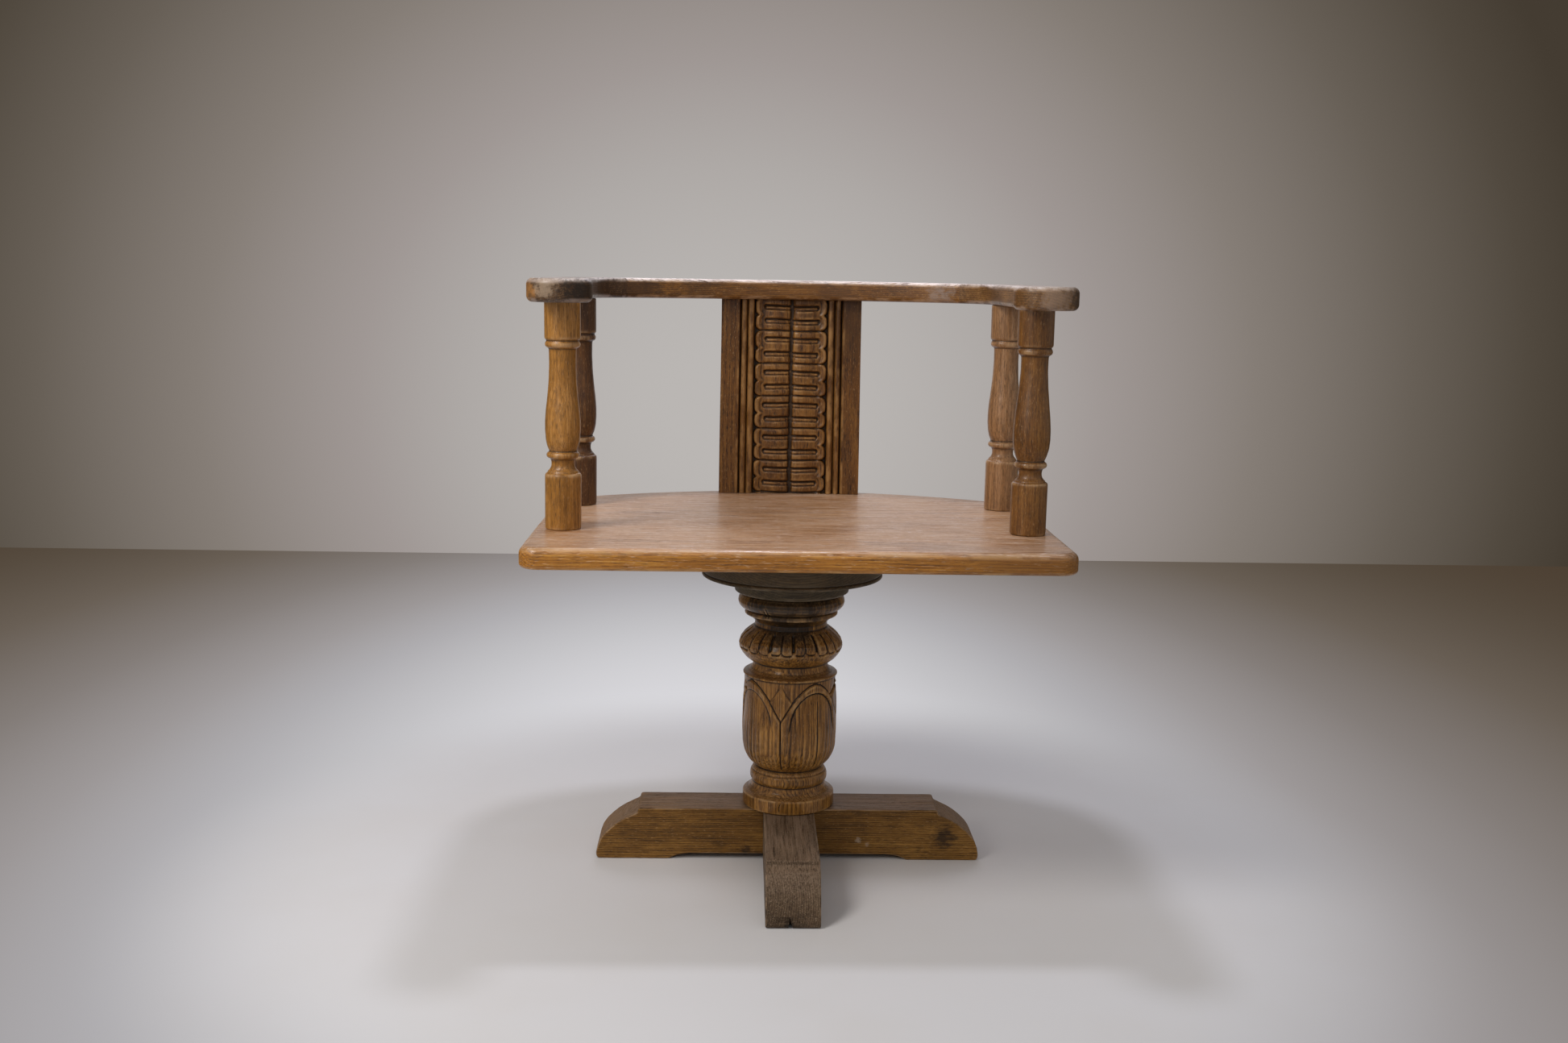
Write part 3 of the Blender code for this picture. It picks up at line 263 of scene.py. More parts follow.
def steelLook(name, clean, rust, rough):
    look = Look(name)
    place = look.node("ShaderNodeTexCoord", out="Object")
    cloud = look.node("ShaderNodeTexNoise", sockets={"Vector": place, "Scale": metal["clouds"], "Detail": 4.0}, out=0)
    stretched = look.node("ShaderNodeVectorMath", {"operation": "MULTIPLY"}, {0: place, 1: metal["scratches"]})
    scratch = look.node("ShaderNodeTexNoise", sockets={"Vector": stretched, "Scale": 1.0, "Detail": 2.0}, out=0)
    rusty = cloud.eased(0.5, 0.68)
    bump = look.node("ShaderNodeBump", sockets={
        "Strength": 0.3, "Distance": 0.1 * mm, "Height": scratch - rusty * 0.6})
    return look.surface(look.node("ShaderNodeBsdfPrincipled", sockets={
        "Base Color": look.mix(rusty, tone(clean), tone(rust)), "Metallic": 1 - rusty * 0.7,
        "Roughness": rough + rusty * 0.35 + scratch * 0.15, "Normal": bump}))


zinc = steelLook("zinc_steel", **metal["zinc_steel"])
hard = steelLook("hardened_steel", **metal["hardened_steel"])
beech = oakLook("beech_dowel", grain="X", shades=("a67c4c", "c69b68", "dcb888"), rings=0.1, poreWide=0.4 * mm,
                poreLong=3 * mm, pores=0.35, pore="8a6238", rough=0.6, coat=0.0)
for name, node in frame["nodes"].items():
    look = hard if name.startswith(("bearing_ball", "king")) else zinc
    if "dowel" in name:
        look = beech
    for holder in node.material_slots:
        holder.material = look
    if not node.material_slots:
        node.data.materials.append(look)
print(f"hidden metal and dowels: looks for {len(frame['nodes'])} nodes")


# Outlines, in mm

mirror = np.array([-1, 1])       # turns a right half into a left one


def arc(centre, radius, start, end, step=3.0):
    count = max(2, math.ceil(radius * math.radians(abs(end - start)) / step))
    turns = np.radians(np.linspace(start, end, count + 1))
    return np.stack([centre[0] + radius * np.cos(turns), centre[1] + radius * np.sin(turns)], 1)


def straight(start, end, step=3.0):
    count = max(1, math.ceil(math.dist(start, end) / step))
    return np.linspace(start, end, count + 1)


def bowed(corners, step):
    # through (a, b) or (a, b, bow) corners: bow is the rise over half the length of the stretch that starts
    # there, to the right of the way along where it is above 0
    line = []
    for (a, b, *bow), (c, d, *_) in zip(corners, corners[1:]):
        bow = bow[0] if bow else 0
        length = math.hypot(c - a, d - b)
        share = np.linspace(0, 1, max(2, math.ceil(length * (1 + abs(bow)) / step) + 1))[:-1, None]
        chord = np.array([[c - a, d - b]])
        stretch = np.array([[a, b]]) + share * chord
        if bow:
            sweep = 4 * math.atan(bow)
            swing = sweep * (share - 0.5)
            radius = length / (2 * math.sin(sweep / 2))
            forward = radius * np.sin(swing) + length / 2
            out = radius * (np.cos(swing) - math.cos(sweep / 2))
            way = chord / length
            stretch = np.array([[a, b]]) + forward * way + out * np.array([[way[0, 1], -way[0, 0]]])
        line.append(stretch)
    line.append(np.array([corners[-1][:2]]))
    return np.concatenate(line)


def evened(line, step):          # the same line with its points a step apart
    length = np.concatenate([[0], np.cumsum(np.linalg.norm(np.diff(line, axis=0), axis=1))])
    spots = np.linspace(0, length[-1], max(3, round(length[-1] / step)))
    return np.stack([np.interp(spots, length, line[:, k]) for k in range(line.shape[1])], 1)


def blur(field, times, closed=(False, False)):
    for axis, loop in enumerate(closed[:field.ndim]):
        for _ in range(times):
            mixed = (np.roll(field, 1, axis) + 2 * field + np.roll(field, -1, axis)) / 4
            if not loop:
                ends = [slice(None)] * field.ndim
                for end in (0, -1):
                    ends[axis] = end
                    mixed[tuple(ends)] = field[tuple(ends)]
            field = mixed
    return field


def softened(points, times, closed=(False, False)):
    return np.stack([blur(points[..., k], times, closed) for k in range(points.shape[-1])], -1)


# Meshes

def stand(name, data):           # a new object in the scene
    made = bpy.data.objects.new(name, data)
    bpy.context.scene.collection.objects.link(made)
    return made


def shadeWood(mesh):             # smooth but for the arrises
    mesh.shade_smooth()
    mesh.set_sharp_from_angle(angle=crease)


def lay(name, points, faces, relief=None):
    mesh = bpy.data.meshes.new(name)
    mesh.from_pydata((points * mm).tolist(), [], faces)
    if relief is not None:
        mesh.attributes.new("relief", "FLOAT", "POINT").data.foreach_set("value", relief.astype(np.float32))
    work = bmesh.new()
    work.from_mesh(mesh)
    bmesh.ops.recalc_face_normals(work, faces=work.faces)
    work.to_mesh(mesh)
    work.free()
    shadeWood(mesh)
    return stand(name, mesh)


def netFaces(rows, columns, closed):
    row = np.arange(rows - 1)[:, None] * columns
    column = np.arange(columns if closed else columns - 1)[None, :]
    after = (column + 1) % columns
    corners = [row + column, row + after, row + columns + after, row + columns + column]
    return np.stack(corners, -1).reshape(-1, 4).tolist()


def ringFaces(rings, around):    # rings of points joined up, with a face over the first and over the last
    last = (rings - 1) * around
    return netFaces(rings, around, True) + [list(range(around)), list(range(last, last + around))]


def proudness(net, closed, times):
    # how far each point stands out from its surroundings, in mm: above 0 on a ridge, below 0 in a hollow
    down = np.gradient(net, axis=0)
    if closed:
        sideways = (np.roll(net, -1, 1) - np.roll(net, 1, 1)) / 2
    else:
        sideways = np.gradient(net, axis=1)
    normal = np.cross(sideways, down)
    normal /= np.linalg.norm(normal, axis=2, keepdims=True) + 1e-9
    return ((net - softened(net, times, (False, closed))) * normal).sum(2)


def turned(name, line, around, hiddenFoot=(), hiddenHead=(), carve=None, centre=(0, 0), lift=0, wobble=0.0):
    # a turned piece from its profile of (radius, height), with its carving cut along the normal
    slope = np.gradient(line, axis=0)
    normal = np.stack([slope[:, 1], -slope[:, 0]], 1)
    normal /= np.linalg.norm(normal, axis=1, keepdims=True)
    turns = np.linspace(-180, 180, around, endpoint=False)[None, :]
    radius, height = line[:, :1] + 0 * turns, line[:, 1:] + 0 * turns
    cut = carve(turns + 0 * height, height, radius) if carve else np.zeros_like(radius)
    if wobble:                   # no old turning is quite round
        cut = cut + wobble * (np.sin(np.radians(turns * 2 + 40)) + 0.6 * np.sin(np.radians(turns * 3) + height / 23))
    radius = radius + normal[:, :1] * cut
    height = height + normal[:, 1:] * cut
    one = np.ones_like(turns)    # a full ring
    radius = np.concatenate([r * one for r, h in hiddenFoot] + [radius] + [r * one for r, h in hiddenHead])
    height = np.concatenate([h * one for r, h in hiddenFoot] + [height] + [h * one for r, h in hiddenHead])
    angle = np.radians(turns - 90)
    net = np.stack([radius * np.cos(angle), radius * np.sin(angle), height], -1)
    relief = np.zeros(radius.shape)
    body = slice(len(hiddenFoot), len(hiddenFoot) + len(line))
    relief[body] = proudness(net[body], True, 14)
    net = net + np.array([centre[0], centre[1], lift])
    return lay(name, net.reshape(-1, 3), ringFaces(len(radius), around), relief.ravel())


def inward(outline):             # towards the inside of a closed outline that runs anticlockwise
    way = np.roll(outline, -1, 0) - np.roll(outline, 1, 0)
    way /= np.linalg.norm(way, axis=1, keepdims=True) + 1e-9
    return np.stack([-way[:, 1], way[:, 0]], 1)


def rim(rounding, steps=7):
    # (inset, depth, wear) of the rings that round an edge, from the face outwards
    quarter = np.radians(np.linspace(90, 0, steps))
    return [(rounding * (1 - math.cos(q)), rounding * (1 - math.sin(q)), math.sin(2 * q)) for q in quarter]


def jointRuns(outline, seamed):  # the points of each butt joint, and how far its two ends move for 1 mm of inset
    count, normal, runs = len(outline), inward(outline), []
    for first in np.flatnonzero(seamed & ~np.roll(seamed, 1)):
        run = [first]
        while seamed[(run[-1] + 1) % count]:
            run.append((run[-1] + 1) % count)
        along = outline[run[-1]] - outline[first]
        length = np.linalg.norm(along)
        along = along / length
        reach = (1 / (normal[first - 1] @ along), -1 / (normal[(run[-1] + 1) % count] @ along))
        runs.append((run, along, length, reach))
    return runs


def slab(name, outline, low, high, rounding, axes=(0, 1, 2), seamed=None, wear=0.5, uneven=0.25):
    # a board: rounded all round (by its lower and upper rounding), but not where seamed is true, in a butt joint
    count = len(outline)
    normal = inward(outline)
    seamed = np.zeros(count, bool) if seamed is None else seamed
    joints = jointRuns(outline, seamed)
    length = np.concatenate([[0], np.cumsum(np.linalg.norm(np.diff(outline, axis=0), axis=1))])
    waver = 1 + 0.5 * np.sin(length / 31) + 0.3 * np.sin(length / 13.7 + 1) + 0.2 * np.sin(length / 6.1 + 2)
    waver = uneven * waver * (1 - np.minimum(2 * blur(seamed.astype(float), 8, (True,)), 1))
    rings = [(i, low + d, w) for i, d, w in rim(rounding[0])]
    rings += [(i, high - d, w) for i, d, w in reversed(rim(rounding[1]))]
    net, relief = [], []
    for inset, level, edge in rings:
        spots = outline + normal * (inset + waver * (1 + edge) * 0.5)[:, None]
        for run, along, reach, ends in joints:
            share = (outline[run] - outline[run[0]]) @ along / reach
            first, last = outline[run[0]] + along * inset * ends[0], outline[run[-1]] - along * inset * ends[1]
            spots[run] = first + share[:, None] * (last - first)
        net.append(np.column_stack([spots, np.full(count, level)]))
        relief.append(np.where(seamed, 0, edge * wear))
    points = np.concatenate(net)[:, list(axes)]
    return lay(name, points, ringFaces(len(rings), count), np.concatenate(relief))


def letIn(piece, *nodes, extra=()):
    # cuts the hidden holes of a piece after the CAD nodes that sit in it
    tools = bpy.data.collections.new("tools")
    bpy.context.scene.collection.children.link(tools)
    for node in nodes:
        work = bmesh.new()
        work.from_mesh(frame["nodes"][node].data)
        bmesh.ops.remove_doubles(work, verts=work.verts, dist=1e-6)
        bmesh.ops.recalc_face_normals(work, faces=work.faces)
        work.normal_update()
        for vert in work.verts:
            vert.co += vert.normal * fit * mm
        mesh = bpy.data.meshes.new("tool")
        work.to_mesh(mesh)
        work.free()
        tools.objects.link(bpy.data.objects.new("tool", mesh))
    for tool in extra:
        bpy.context.scene.collection.objects.unlink(tool)
        tools.objects.link(tool)
    bore = piece.modifiers.new("bore", "BOOLEAN")
    bore.operation = "DIFFERENCE"
    bore.operand_type = "COLLECTION"
    bore.collection = tools
    bore.solver = "MANIFOLD"
    settle(piece)
    shadeWood(piece.data)
    even = piece.modifiers.new("even", "WEIGHTED_NORMAL")            # large flats shade as flat
    even.keep_sharp = True
    settle(piece)
    for tool in list(tools.objects):
        bpy.data.objects.remove(tool, do_unlink=True)
    bpy.data.collections.remove(tools)


def settle(piece):               # applies the modifiers
    seen = bpy.context.evaluated_depsgraph_get()
    mesh = bpy.data.meshes.new_from_object(piece.evaluated_get(seen))
    piece.modifiers.clear()
    old = piece.data
    piece.data = mesh
    bpy.data.meshes.remove(old)


def dress(piece, look, body, slot, *nodes):
    piece.data.materials.clear()
    piece.data.materials.append(look)
    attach(piece, body)
    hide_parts(*nodes)
    print(f"{piece.name}: {len(piece.data.vertices)} points")


def numbered(name, count):
    return [f"{name}_{i}" for i in range(1, count + 1)]


def cornersOf(node):             # lowest and highest corner in mm
    low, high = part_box(node)
    return np.array(low) / mm, np.array(high) / mm


def rise(value, low, high):      # 0 below low, 1 above high, smooth between
    share = np.clip((value - low) / (high - low), 0, 1)
    return share * share * (3 - 2 * share)


def between(value, low, full, fading, high):            # 1 from full to fading, 0 below low and above high
    return rise(value, low, full) * (1 - rise(value, fading, high))


def scored(distance, width, depth):          # a V cut with soft shoulders
    return -depth * np.exp(-(distance / (0.55 * width)) ** 2)


def awayFrom(a, b, line):        # distance from each point to a line of (a, b) corners
    nearest = np.full(np.shape(a), 1e9)
    for (p, q), (r, s) in zip(line, line[1:]):
        reach = (r - p) ** 2 + (s - q) ** 2
        share = np.clip(((a - p) * (r - p) + (b - q) * (s - q)) / reach, 0, 1)
        nearest = np.minimum(nearest, np.hypot(a - p - share * (r - p), b - q - share * (s - q)))
    return nearest


# Foot cross

footBeam = {
    "toe": [                     # from the top of the step to the sole, mm from the end and above the floor
        (-54.6, 65), (-53, 64.5), (-51.9, 63.4), (-51.5, 61.8), (-51.3, 60), (-50, 58.8), (-43, 55.4), (-33, 50.5),
        (-25, 45.5), (-17, 39), (-9.5, 31.5), (-4.5, 24), (-1.2, 15), (0, 7), (-0.3, 3.4), (-1.4, 1), (-3.6, 0)],
    "frontToe": [
        (-41, 65), (-39.4, 64.5), (-38.3, 63.4), (-37.9, 61.8), (-37.7, 60.4), (-36.6, 59.6), (-33, 58.4),
        (-26, 55.5), (-18.5, 47.5), (-11.5, 37.5), (-6.2, 27), (-2.6, 16), (-0.6, 7), (-0.6, 3.4), (-1.7, 1), (-4, 0)],
    "pad": 90,                   # length of the sole
    "cove": [(-23, 7), (-12, 5.2), (-6, 3.2), (0, 0)],           # from the hollow under the beam to the sole
    "arris": (1.8, 1.8),
    "uneven": 0.25,
    "crack": {"across": -3, "width": 5.5, "height": 13.5, "depth": 14},
}
footOak = {"pith": (0.03, -0.09), "shades": ("37240c", "7a5420", "a4793a"), "worn": "b09474", "dustAndSheen": "84705e",
           "dustAndSheenShare": 0.95, "blots": 0.45, "shine": 0.25, "rough": 0.55, "coat": 0.05, "bump": 0.9}
footLooks = {
    "foot_beam_side": {"grain": "X", "spots": [
        ((194, -31, 29), 15, "1f150e", 0.8), ((87, -31, 25), 4, "b09c86", 0.6),
        ((98, -31, 20), 3, "b09c86", 0.5), ((-52, -31, 12), 7, "1f150e", 0.7)]},
    "foot_beam_front": {"grain": "Y", "shades": ("2e241a", "584532", "867058"), "fleck": "b09c84", "flecks": 0.6,
                        "spots": [((-4, -240, 4), 6, "17100a", 0.7)]},
}


def beamOutline(end, shape):     # one end of the beam seen from the side, then the other one mirrored
    pad = end - footBeam["pad"]
    cove = evened(np.array([(a + pad, b) for a, b in footBeam["cove"]]), 1.6)[:-1]
    toe = evened(np.array([(a + end, b) for a, b in shape]), 0.8)[::-1]
    half = np.concatenate([cove, straight((pad, 0), toe[0], 1.6)[:-1], toe])
    other = half[::-1] * mirror
    outline = np.concatenate([half, straight(half[-1], other[0], 1.6)[1:-1], other,
                              straight(other[-1], half[0], 1.6)[1:-1]])
    return softened(outline, 2, (True,))


def toeCrack(end):               # a drying crack in the front toe, open at the floor
    crack = footBeam["crack"]
    side, top = crack["width"] / 2, crack["height"]
    section = [(-side, -1), (side, -1), (0.3 * side, 0.55 * top), (-0.8, top), (-0.5 * side, 0.55 * top)]
    points = [(crack["across"] + x, y, z) for y in (-end - 2, crack["depth"] - end) for x, z in section]
    return lay("crack", np.array(points), ringFaces(2, len(section)))


for name, mate, along, axes in (("foot_beam_side", "foot_beam_front", 0, (0, 2, 1)),
                                ("foot_beam_front", "foot_beam_side", 1, (2, 0, 1))):
    low, high = cornersOf(name)
    outline = beamOutline(high[along], footBeam["frontToe" if along else "toe"])
    beam = slab(name.replace("foot_beam", "oak_foot"), outline, low[1 - along], high[1 - along], footBeam["arris"],
                axes, wear=0.9, uneven=footBeam["uneven"] * rise(outline[:, 1], 7.5, 14))
    cracks = [toeCrack(high[1])] if along else []
    letIn(beam, mate, "column", "foot_coach_screw", "foot_washer", extra=cracks)
    dress(beam, oakLook(name + "_oak", **{**footOak, **footLooks[name]}), "base", "foot_oak", name)


# Column

column = {
    "mouldings": [               # radius, height above the floor, bow of the stretch that starts there
        (55.2, 65.3), (56.6, 66.6), (56.8, 80.8), (56.2, 82.2), (54.4, 83), (50.2, 84.8), (47.2, 88.4),
        (45.6, 93), (45, 95), (45.6, 95.8, 0.2), (47.9, 102.4, 0.12), (46.6, 108.4), (44.8, 109.4),
        (45.4, 110.4, 0.15), (43, 113.6), (40.6, 114.4), (41.2, 115.2, 0.25), (57.6, 148, 0.015), (58.3, 172),
        (58, 200), (57.8, 219), (58.2, 232.4), (58, 233.6), (56.2, 234.4), (51.6, 235.6), (48, 238.4),
        (46.4, 242.6), (45.8, 247), (46.4, 247.8), (50.6, 249.4), (55.6, 253.2), (60, 258.6), (63.2, 264.4),
        (64.4, 270), (62.2, 276.4), (57.8, 282.4), (52.6, 286.9), (48, 289.8), (45, 291.2), (44.6, 292),
        (44.4, 297, -0.12), (52.6, 304.6), (53, 305.4), (56.6, 306.2, 0.1), (57.2, 308.4), (56.6, 311),
        (55, 312.2), (57.6, 313), (61.6, 315), (64.4, 318.4), (65.4, 322.4), (64.8, 326.6), (62.4, 330.8),
        (58, 334),
    ],
    "hiddenFoot": [(17.9, 27.6), (18, 28), (18, 65.3), (30, 65.3)],              # the tenon
    "hiddenHead": [(50, 334)],   # the top, under the discs
    "around": 420,               # points round the column
    "fineness": 0.7,             # mm between its rings
    "side": 58.2,                # radius of the cup
    "cup": (115, 122, 230.6, 232.2),             # heights where its carving starts, is full, fades and ends
    "leafTurn": 32,              # degrees to the right of the front, middle of a leaf
    "halfway": 45.7,             # mm round the cup from the middle of a leaf to the line between two leaves
    "leaf": [(45.7, 100), (45.7, 181), (41.5, 188), (36.5, 196), (31, 205), (24, 213.5), (17, 220), (9, 225.5),
             (0, 228.5)],
    "field": [(35, 100), (35.5, 170), (32, 187), (27, 199), (20, 208), (12, 214), (5, 216.3), (0, 216.8)],
    "second": [(0, 228), (3.5, 221), (8.5, 213), (14, 207), (20, 204)],
    "gashes": [[(59, 210), (68, 215), (79, 222)], [(-71, 216), (-80, 222)]],        # (degrees, height) of deep cuts
    "flutes": 13,                # round the bulb
    "fluteTurn": 1.4,
    "fluteEnd": 265,             # height of the lower ends of flutes and tongues
    "fluteWide": 3.1,            # half of it
    "fluteDepth": 3.4,
    "bulb": (255, 260, 287, 291),                # heights of the bulb's carving, as for the cup
    "cracks": [(-12, 66, 83, 1.2), (-9, 95, 108, 1.2), (4, 95, 108, 0.8), (-34, 308, 322, 1.5), (-30, 308, 324, 1.5),
               (22, 308, 316, 1.5), (40, 310, 316, 1.5)],        # degrees, from height, to height, depth
}
columnOak = {"pith": (0.2, 0.3), "shades": ("3a240e", "845820", "ba863c"), "worn": "c49c66", "pores": 0.75,
             "poreWide": 1.1 * mm, "poreLong": 14 * mm, "streaks": 1.0, "rough": 0.42, "coat": 0.4, "coatRough": 0.2,
             "shine": 0.2, "grimeAndShadeShare": 1.0, "wear": 0.5, "dustAndSheen": "7c6854", "dustAndSheenShare": 0.45,
             # the two dark spots darken the cushion and the upper bulb under the discs: painted shade, with some dirt
             "spots": [((0, -60, 328), 66, "1c130a", 0.9), ((0, -50, 290), 24, "2a2014", 0.3)]}


def within(across, height, line):            # distance in mm inside a line of (half width, height), below 0 outside
    half = np.interp(height, *zip(*sorted((b, a) for a, b in line)))
    return np.where(across < half, 1, -1) * awayFrom(across, height, line)


def cupCarving(turn, height):
    quarter = np.floor((turn - column["leafTurn"] + 45) / 90)
    lean = 0.6 * np.sin(quarter * 2.3) + 0.5 * np.sin(height / 29 + quarter)            # no leaf is quite the same
    offset = (turn - column["leafTurn"] + 45) % 90 - 45
    side = np.abs(offset) * math.radians(column["side"]) + np.sign(offset) * lean       # mm from a leaf's middle
    inside = within(side, height, column["leaf"])
    field = within(side, height, column["field"])
    gap = column["halfway"] - side                                  # mm from the line between two leaves
    upper = rise(height, 150, 190)
    cut = -1.6 * rise(field, -1.4, 1.4) * (0.3 + 0.7 * upper) + 0.7 * rise(field, 2, 20)
    cut += scored(field, 1.7, 1.9) * upper * np.where(quarter == 0, 1, 0.3)
    cut += scored(offset - 3, 1.2, 1.4) * between(height, 118, 130, 203, 210)
    cut += 0.35 * np.sin(turn * 0.9 + 2 * np.sin(height / 37)) * between(height, 116, 126, 150, 200)
    # a lowered ground between two leaves, with the point of a second leaf on it
    ground = rise(-inside, -0.4, 0.9) * rise(height, 172, 184)
    point = within(gap, height, column["second"])
    cut += ground * (-2.0 + 1.3 * rise(point, -0.6, 1.4))
    cut += scored(inside, 1.6, 2.1) * rise(height, 178, 188)
    cut += scored(gap, 1.5, 1.9) * between(height, 113, 122, 181, 188)
    cut += 0.5 * np.exp(-(gap / 1.5) ** 2) * ground * rise(point, 0, 2)
    for gash in column["gashes"]:
        cut += scored(awayFrom(turn, height, gash), 2.8, 3.4)
    return cut * between(height, *column["cup"])


def bulbCarving(turn, height, radius):       # flutes, with two flat tongues between each pair
    pitch = 360 / column["flutes"]
    order = np.floor((turn - column["fluteTurn"]) / pitch + 0.5)
    offset = turn - column["fluteTurn"] - order * pitch + 0.8 * np.sin(order * 2.4)
    across = np.radians(1) * radius
    flute = np.abs(offset) * across
    line = np.abs(np.abs(offset) - pitch / 2) * across
    end = column["fluteEnd"] + 1.3 * np.sin(order * 1.7 + (offset > 0) * 2.2)
    wide = column["fluteWide"] + 0.5 * np.sin(order * 4.1)
    cut = -column["fluteDepth"] * (1 - rise(flute, 0.25 * wide, wide)) * rise(height, end + 1.5, end + 6.5)
    cut += scored(line, 1.7, 2.3) * rise(height, end - 1, end + 2)
    tongue = (np.abs(offset) - pitch / 4) / (pitch / 4)              # -1 beside the flute, 1 beside the line
    foot = end + 5.5 * np.abs(tongue) ** 4
    cut += scored(height - foot, 1.9, 2.1) * rise(flute, 1.5, 3.5)
    cut -= 0.5 * rise(height, foot - 0.5, foot + 1.5)
    return cut * between(height, *column["bulb"])


def columnCarving(turn, height, radius):
    cut = cupCarving(turn, height) * (height < 234) + bulbCarving(turn, height, radius) * (height > 254)
    for where, low, high, depth in column["cracks"]:
        stray = where + 1.2 * np.sin(height / 3.1)
        near = np.abs((turn - stray + 180) % 360 - 180) * np.radians(1) * radius
        cut += scored(near, 0.9, depth) * between(height, low, low + 4, high - 4, high)
    return cut


capScrews = numbered("cap_screw", 4)
profile = softened(evened(bowed(column["mouldings"], 0.5), column["fineness"]), 1)
shaft = turned("oak_column", profile, column["around"], column["hiddenFoot"], column["hiddenHead"],
               carve=columnCarving, wobble=0.12)
letIn(shaft, "foot_coach_screw", "king_bolt", *capScrews)
dress(shaft, oakLook("column_oak", **columnOak), "base", "column_oak", "column")


# Discs under the seat

discs = {                        # radius, height above the floor
    "cap_disc_small": [(68.4, 334.3), (69.6, 334.8), (70, 335.8), (69.9, 343), (70.3, 352.4), (69.7, 353.4),
                       (68, 353.7)],
    "cap_disc_large": [(108.4, 354), (110, 354.4), (110.6, 355.2), (110.4, 357.6), (109.3, 358.4), (109.2, 359.2),
                       (110.2, 360), (110.4, 386.6), (109.8, 388), (108, 388.3)],
}
discOak = {"grain": "X", "pith": (0.3, -0.3), "shades": ("1e170e", "4e4028", "6c5838"), "worn": "8a7860",
           "fleck": "6e6050", "pores": 0.4, "rough": 0.5, "coat": 0.1, "wear": 0.35}
discLook = oakLook("disc_oak", **discOak)
ledge = 12                       # mm from the edge, the last ring of the upper and of the lower face
for name, edge in discs.items():
    line = evened(bowed(edge, 0.5), 0.8)
    disc = turned(name.replace("cap_disc", "oak_disc"), line, 300, [(line[0, 0] - ledge, line[0, 1])],
                  [(line[-1, 0] - ledge, line[-1, 1])], wobble=0.3)
    screws = numbered("plate_screw_lower", 4) if name == "cap_disc_large" else []
    letIn(disc, *capScrews, "king_bolt", *screws)
    dress(disc, discLook, "base", "disc_oak", name)


# Seat

seat = {
    "rearArc": 495,              # radius of the edge behind, the sides are straight
    "rearCorner": 115,
    "frontCorner": 22,
    "rounding": (4.5, 8.5),      # of the lower and the upper arris
    "piths": {"seat_board_front": (-0.19, 0.33), "seat_board_middle": (0.02, 0.27), "seat_board_rear": (0.19, 0.35)},
    "well": (15, 2),             # over the king bolt: radius, room above the bolt
}
# the pale colour on the seat's top paints its reflection of light, and the whitish flecks its glints; the long pale
# flecks are partly oak rays, partly painted glints
seatOak = {"grain": "X", "shades": ("70440a", "a86c1c", "c68c34"), "worn": "cca064", "pore": "3c220c",
           "dustAndSheen": "c0a692", "dustAndSheenShare": 0.8, "fleck": "d8b898", "flecks": 0.5, "fleckLong": 12 * mm, "glintShare": 1.6,
           "shine": 0.4, "rough": 0.46, "coat": 0.5, "coatRough": 0.24, "wear": 0.5, "streaks": 0.9,
           # the dark spot darkens the right of the front edge
           "spots": [((250, -249, 412), 130, "6e4412", 0.55)]}
seatLow = cornersOf("seat_board_front")[0]
seatHigh = cornersOf("seat_board_rear")[1]
seatHalf = cornersOf("seat_board_middle")[1][0]
spindles = ["spindle_front_left", "spindle_front_right", "spindle_rear_left", "spindle_rear_right"]
frontDowels, rearDowels = numbered("seat_dowel_front", 3), numbered("seat_dowel_rear", 3)
seatJoints = {
    "seat_board_front": frontDowels + spindles[:2],
    "seat_board_middle": frontDowels + rearDowels + spindles,
    "seat_board_rear": rearDowels + spindles[2:] + ["back_splat"],
}


def sweptBack(half, rear, rearArc, corner):
    # centres of the rear arc and of the corner that joins it to the side, and the angle where they meet
    back = (0, rear - rearArc)
    up = math.sqrt((rearArc - corner) ** 2 - (half - corner) ** 2)
    return back, (half - corner, back[1] + up), math.degrees(math.atan2(up, half - corner))


def seatHalfOutline():           # right side of the whole seat, from the front round to the middle of the back
    back, corner, meet = sweptBack(seatHalf, seatHigh[1], seat["rearArc"], seat["rearCorner"])
    front = (seatHalf - seat["frontCorner"], seatLow[1] + seat["frontCorner"])
    return np.concatenate([
        straight((0, seatLow[1]), (front[0], seatLow[1]))[:-1],
        arc(front, seat["frontCorner"], -90, 0)[:-1],
        straight((seatHalf, front[1]), (seatHalf, corner[1]))[:-1],
        arc(corner, seat["rearCorner"], 0, meet)[:-1],
        arc(back, seat["rearArc"], meet, 90)])


def boardOutline(low, high):     # the part of the seat between two levels across it, and which points are in a joint
    half = seatHalfOutline()
    order = half[:, 1]

    def meets(level):            # where a joint comes out at the side
        turn = int(np.argmax(order > level))
        a, b = half[turn - 1], half[turn]
        return a + (b - a) * (level - a[1]) / (b[1] - a[1])

    frontJoint, rearJoint = low > order[0] + 1, high < order[-1] - 1
    bits = [straight((0, low), meets(low)) if frontJoint else half[order <= low + 0.01],
            half[(order > low + 0.01) & (order < high - 0.01)],
            straight(meets(high), (0, high)) if rearJoint else half[order >= high - 0.01]]
    right = np.concatenate(bits)
    seamed = np.concatenate([np.full(len(bit), joint) for bit, joint in zip(bits, (frontJoint, False, rearJoint))])
    return (np.concatenate([right, right[::-1][1:-1] * mirror]),
            np.concatenate([seamed, seamed[::-1][1:-1]]))


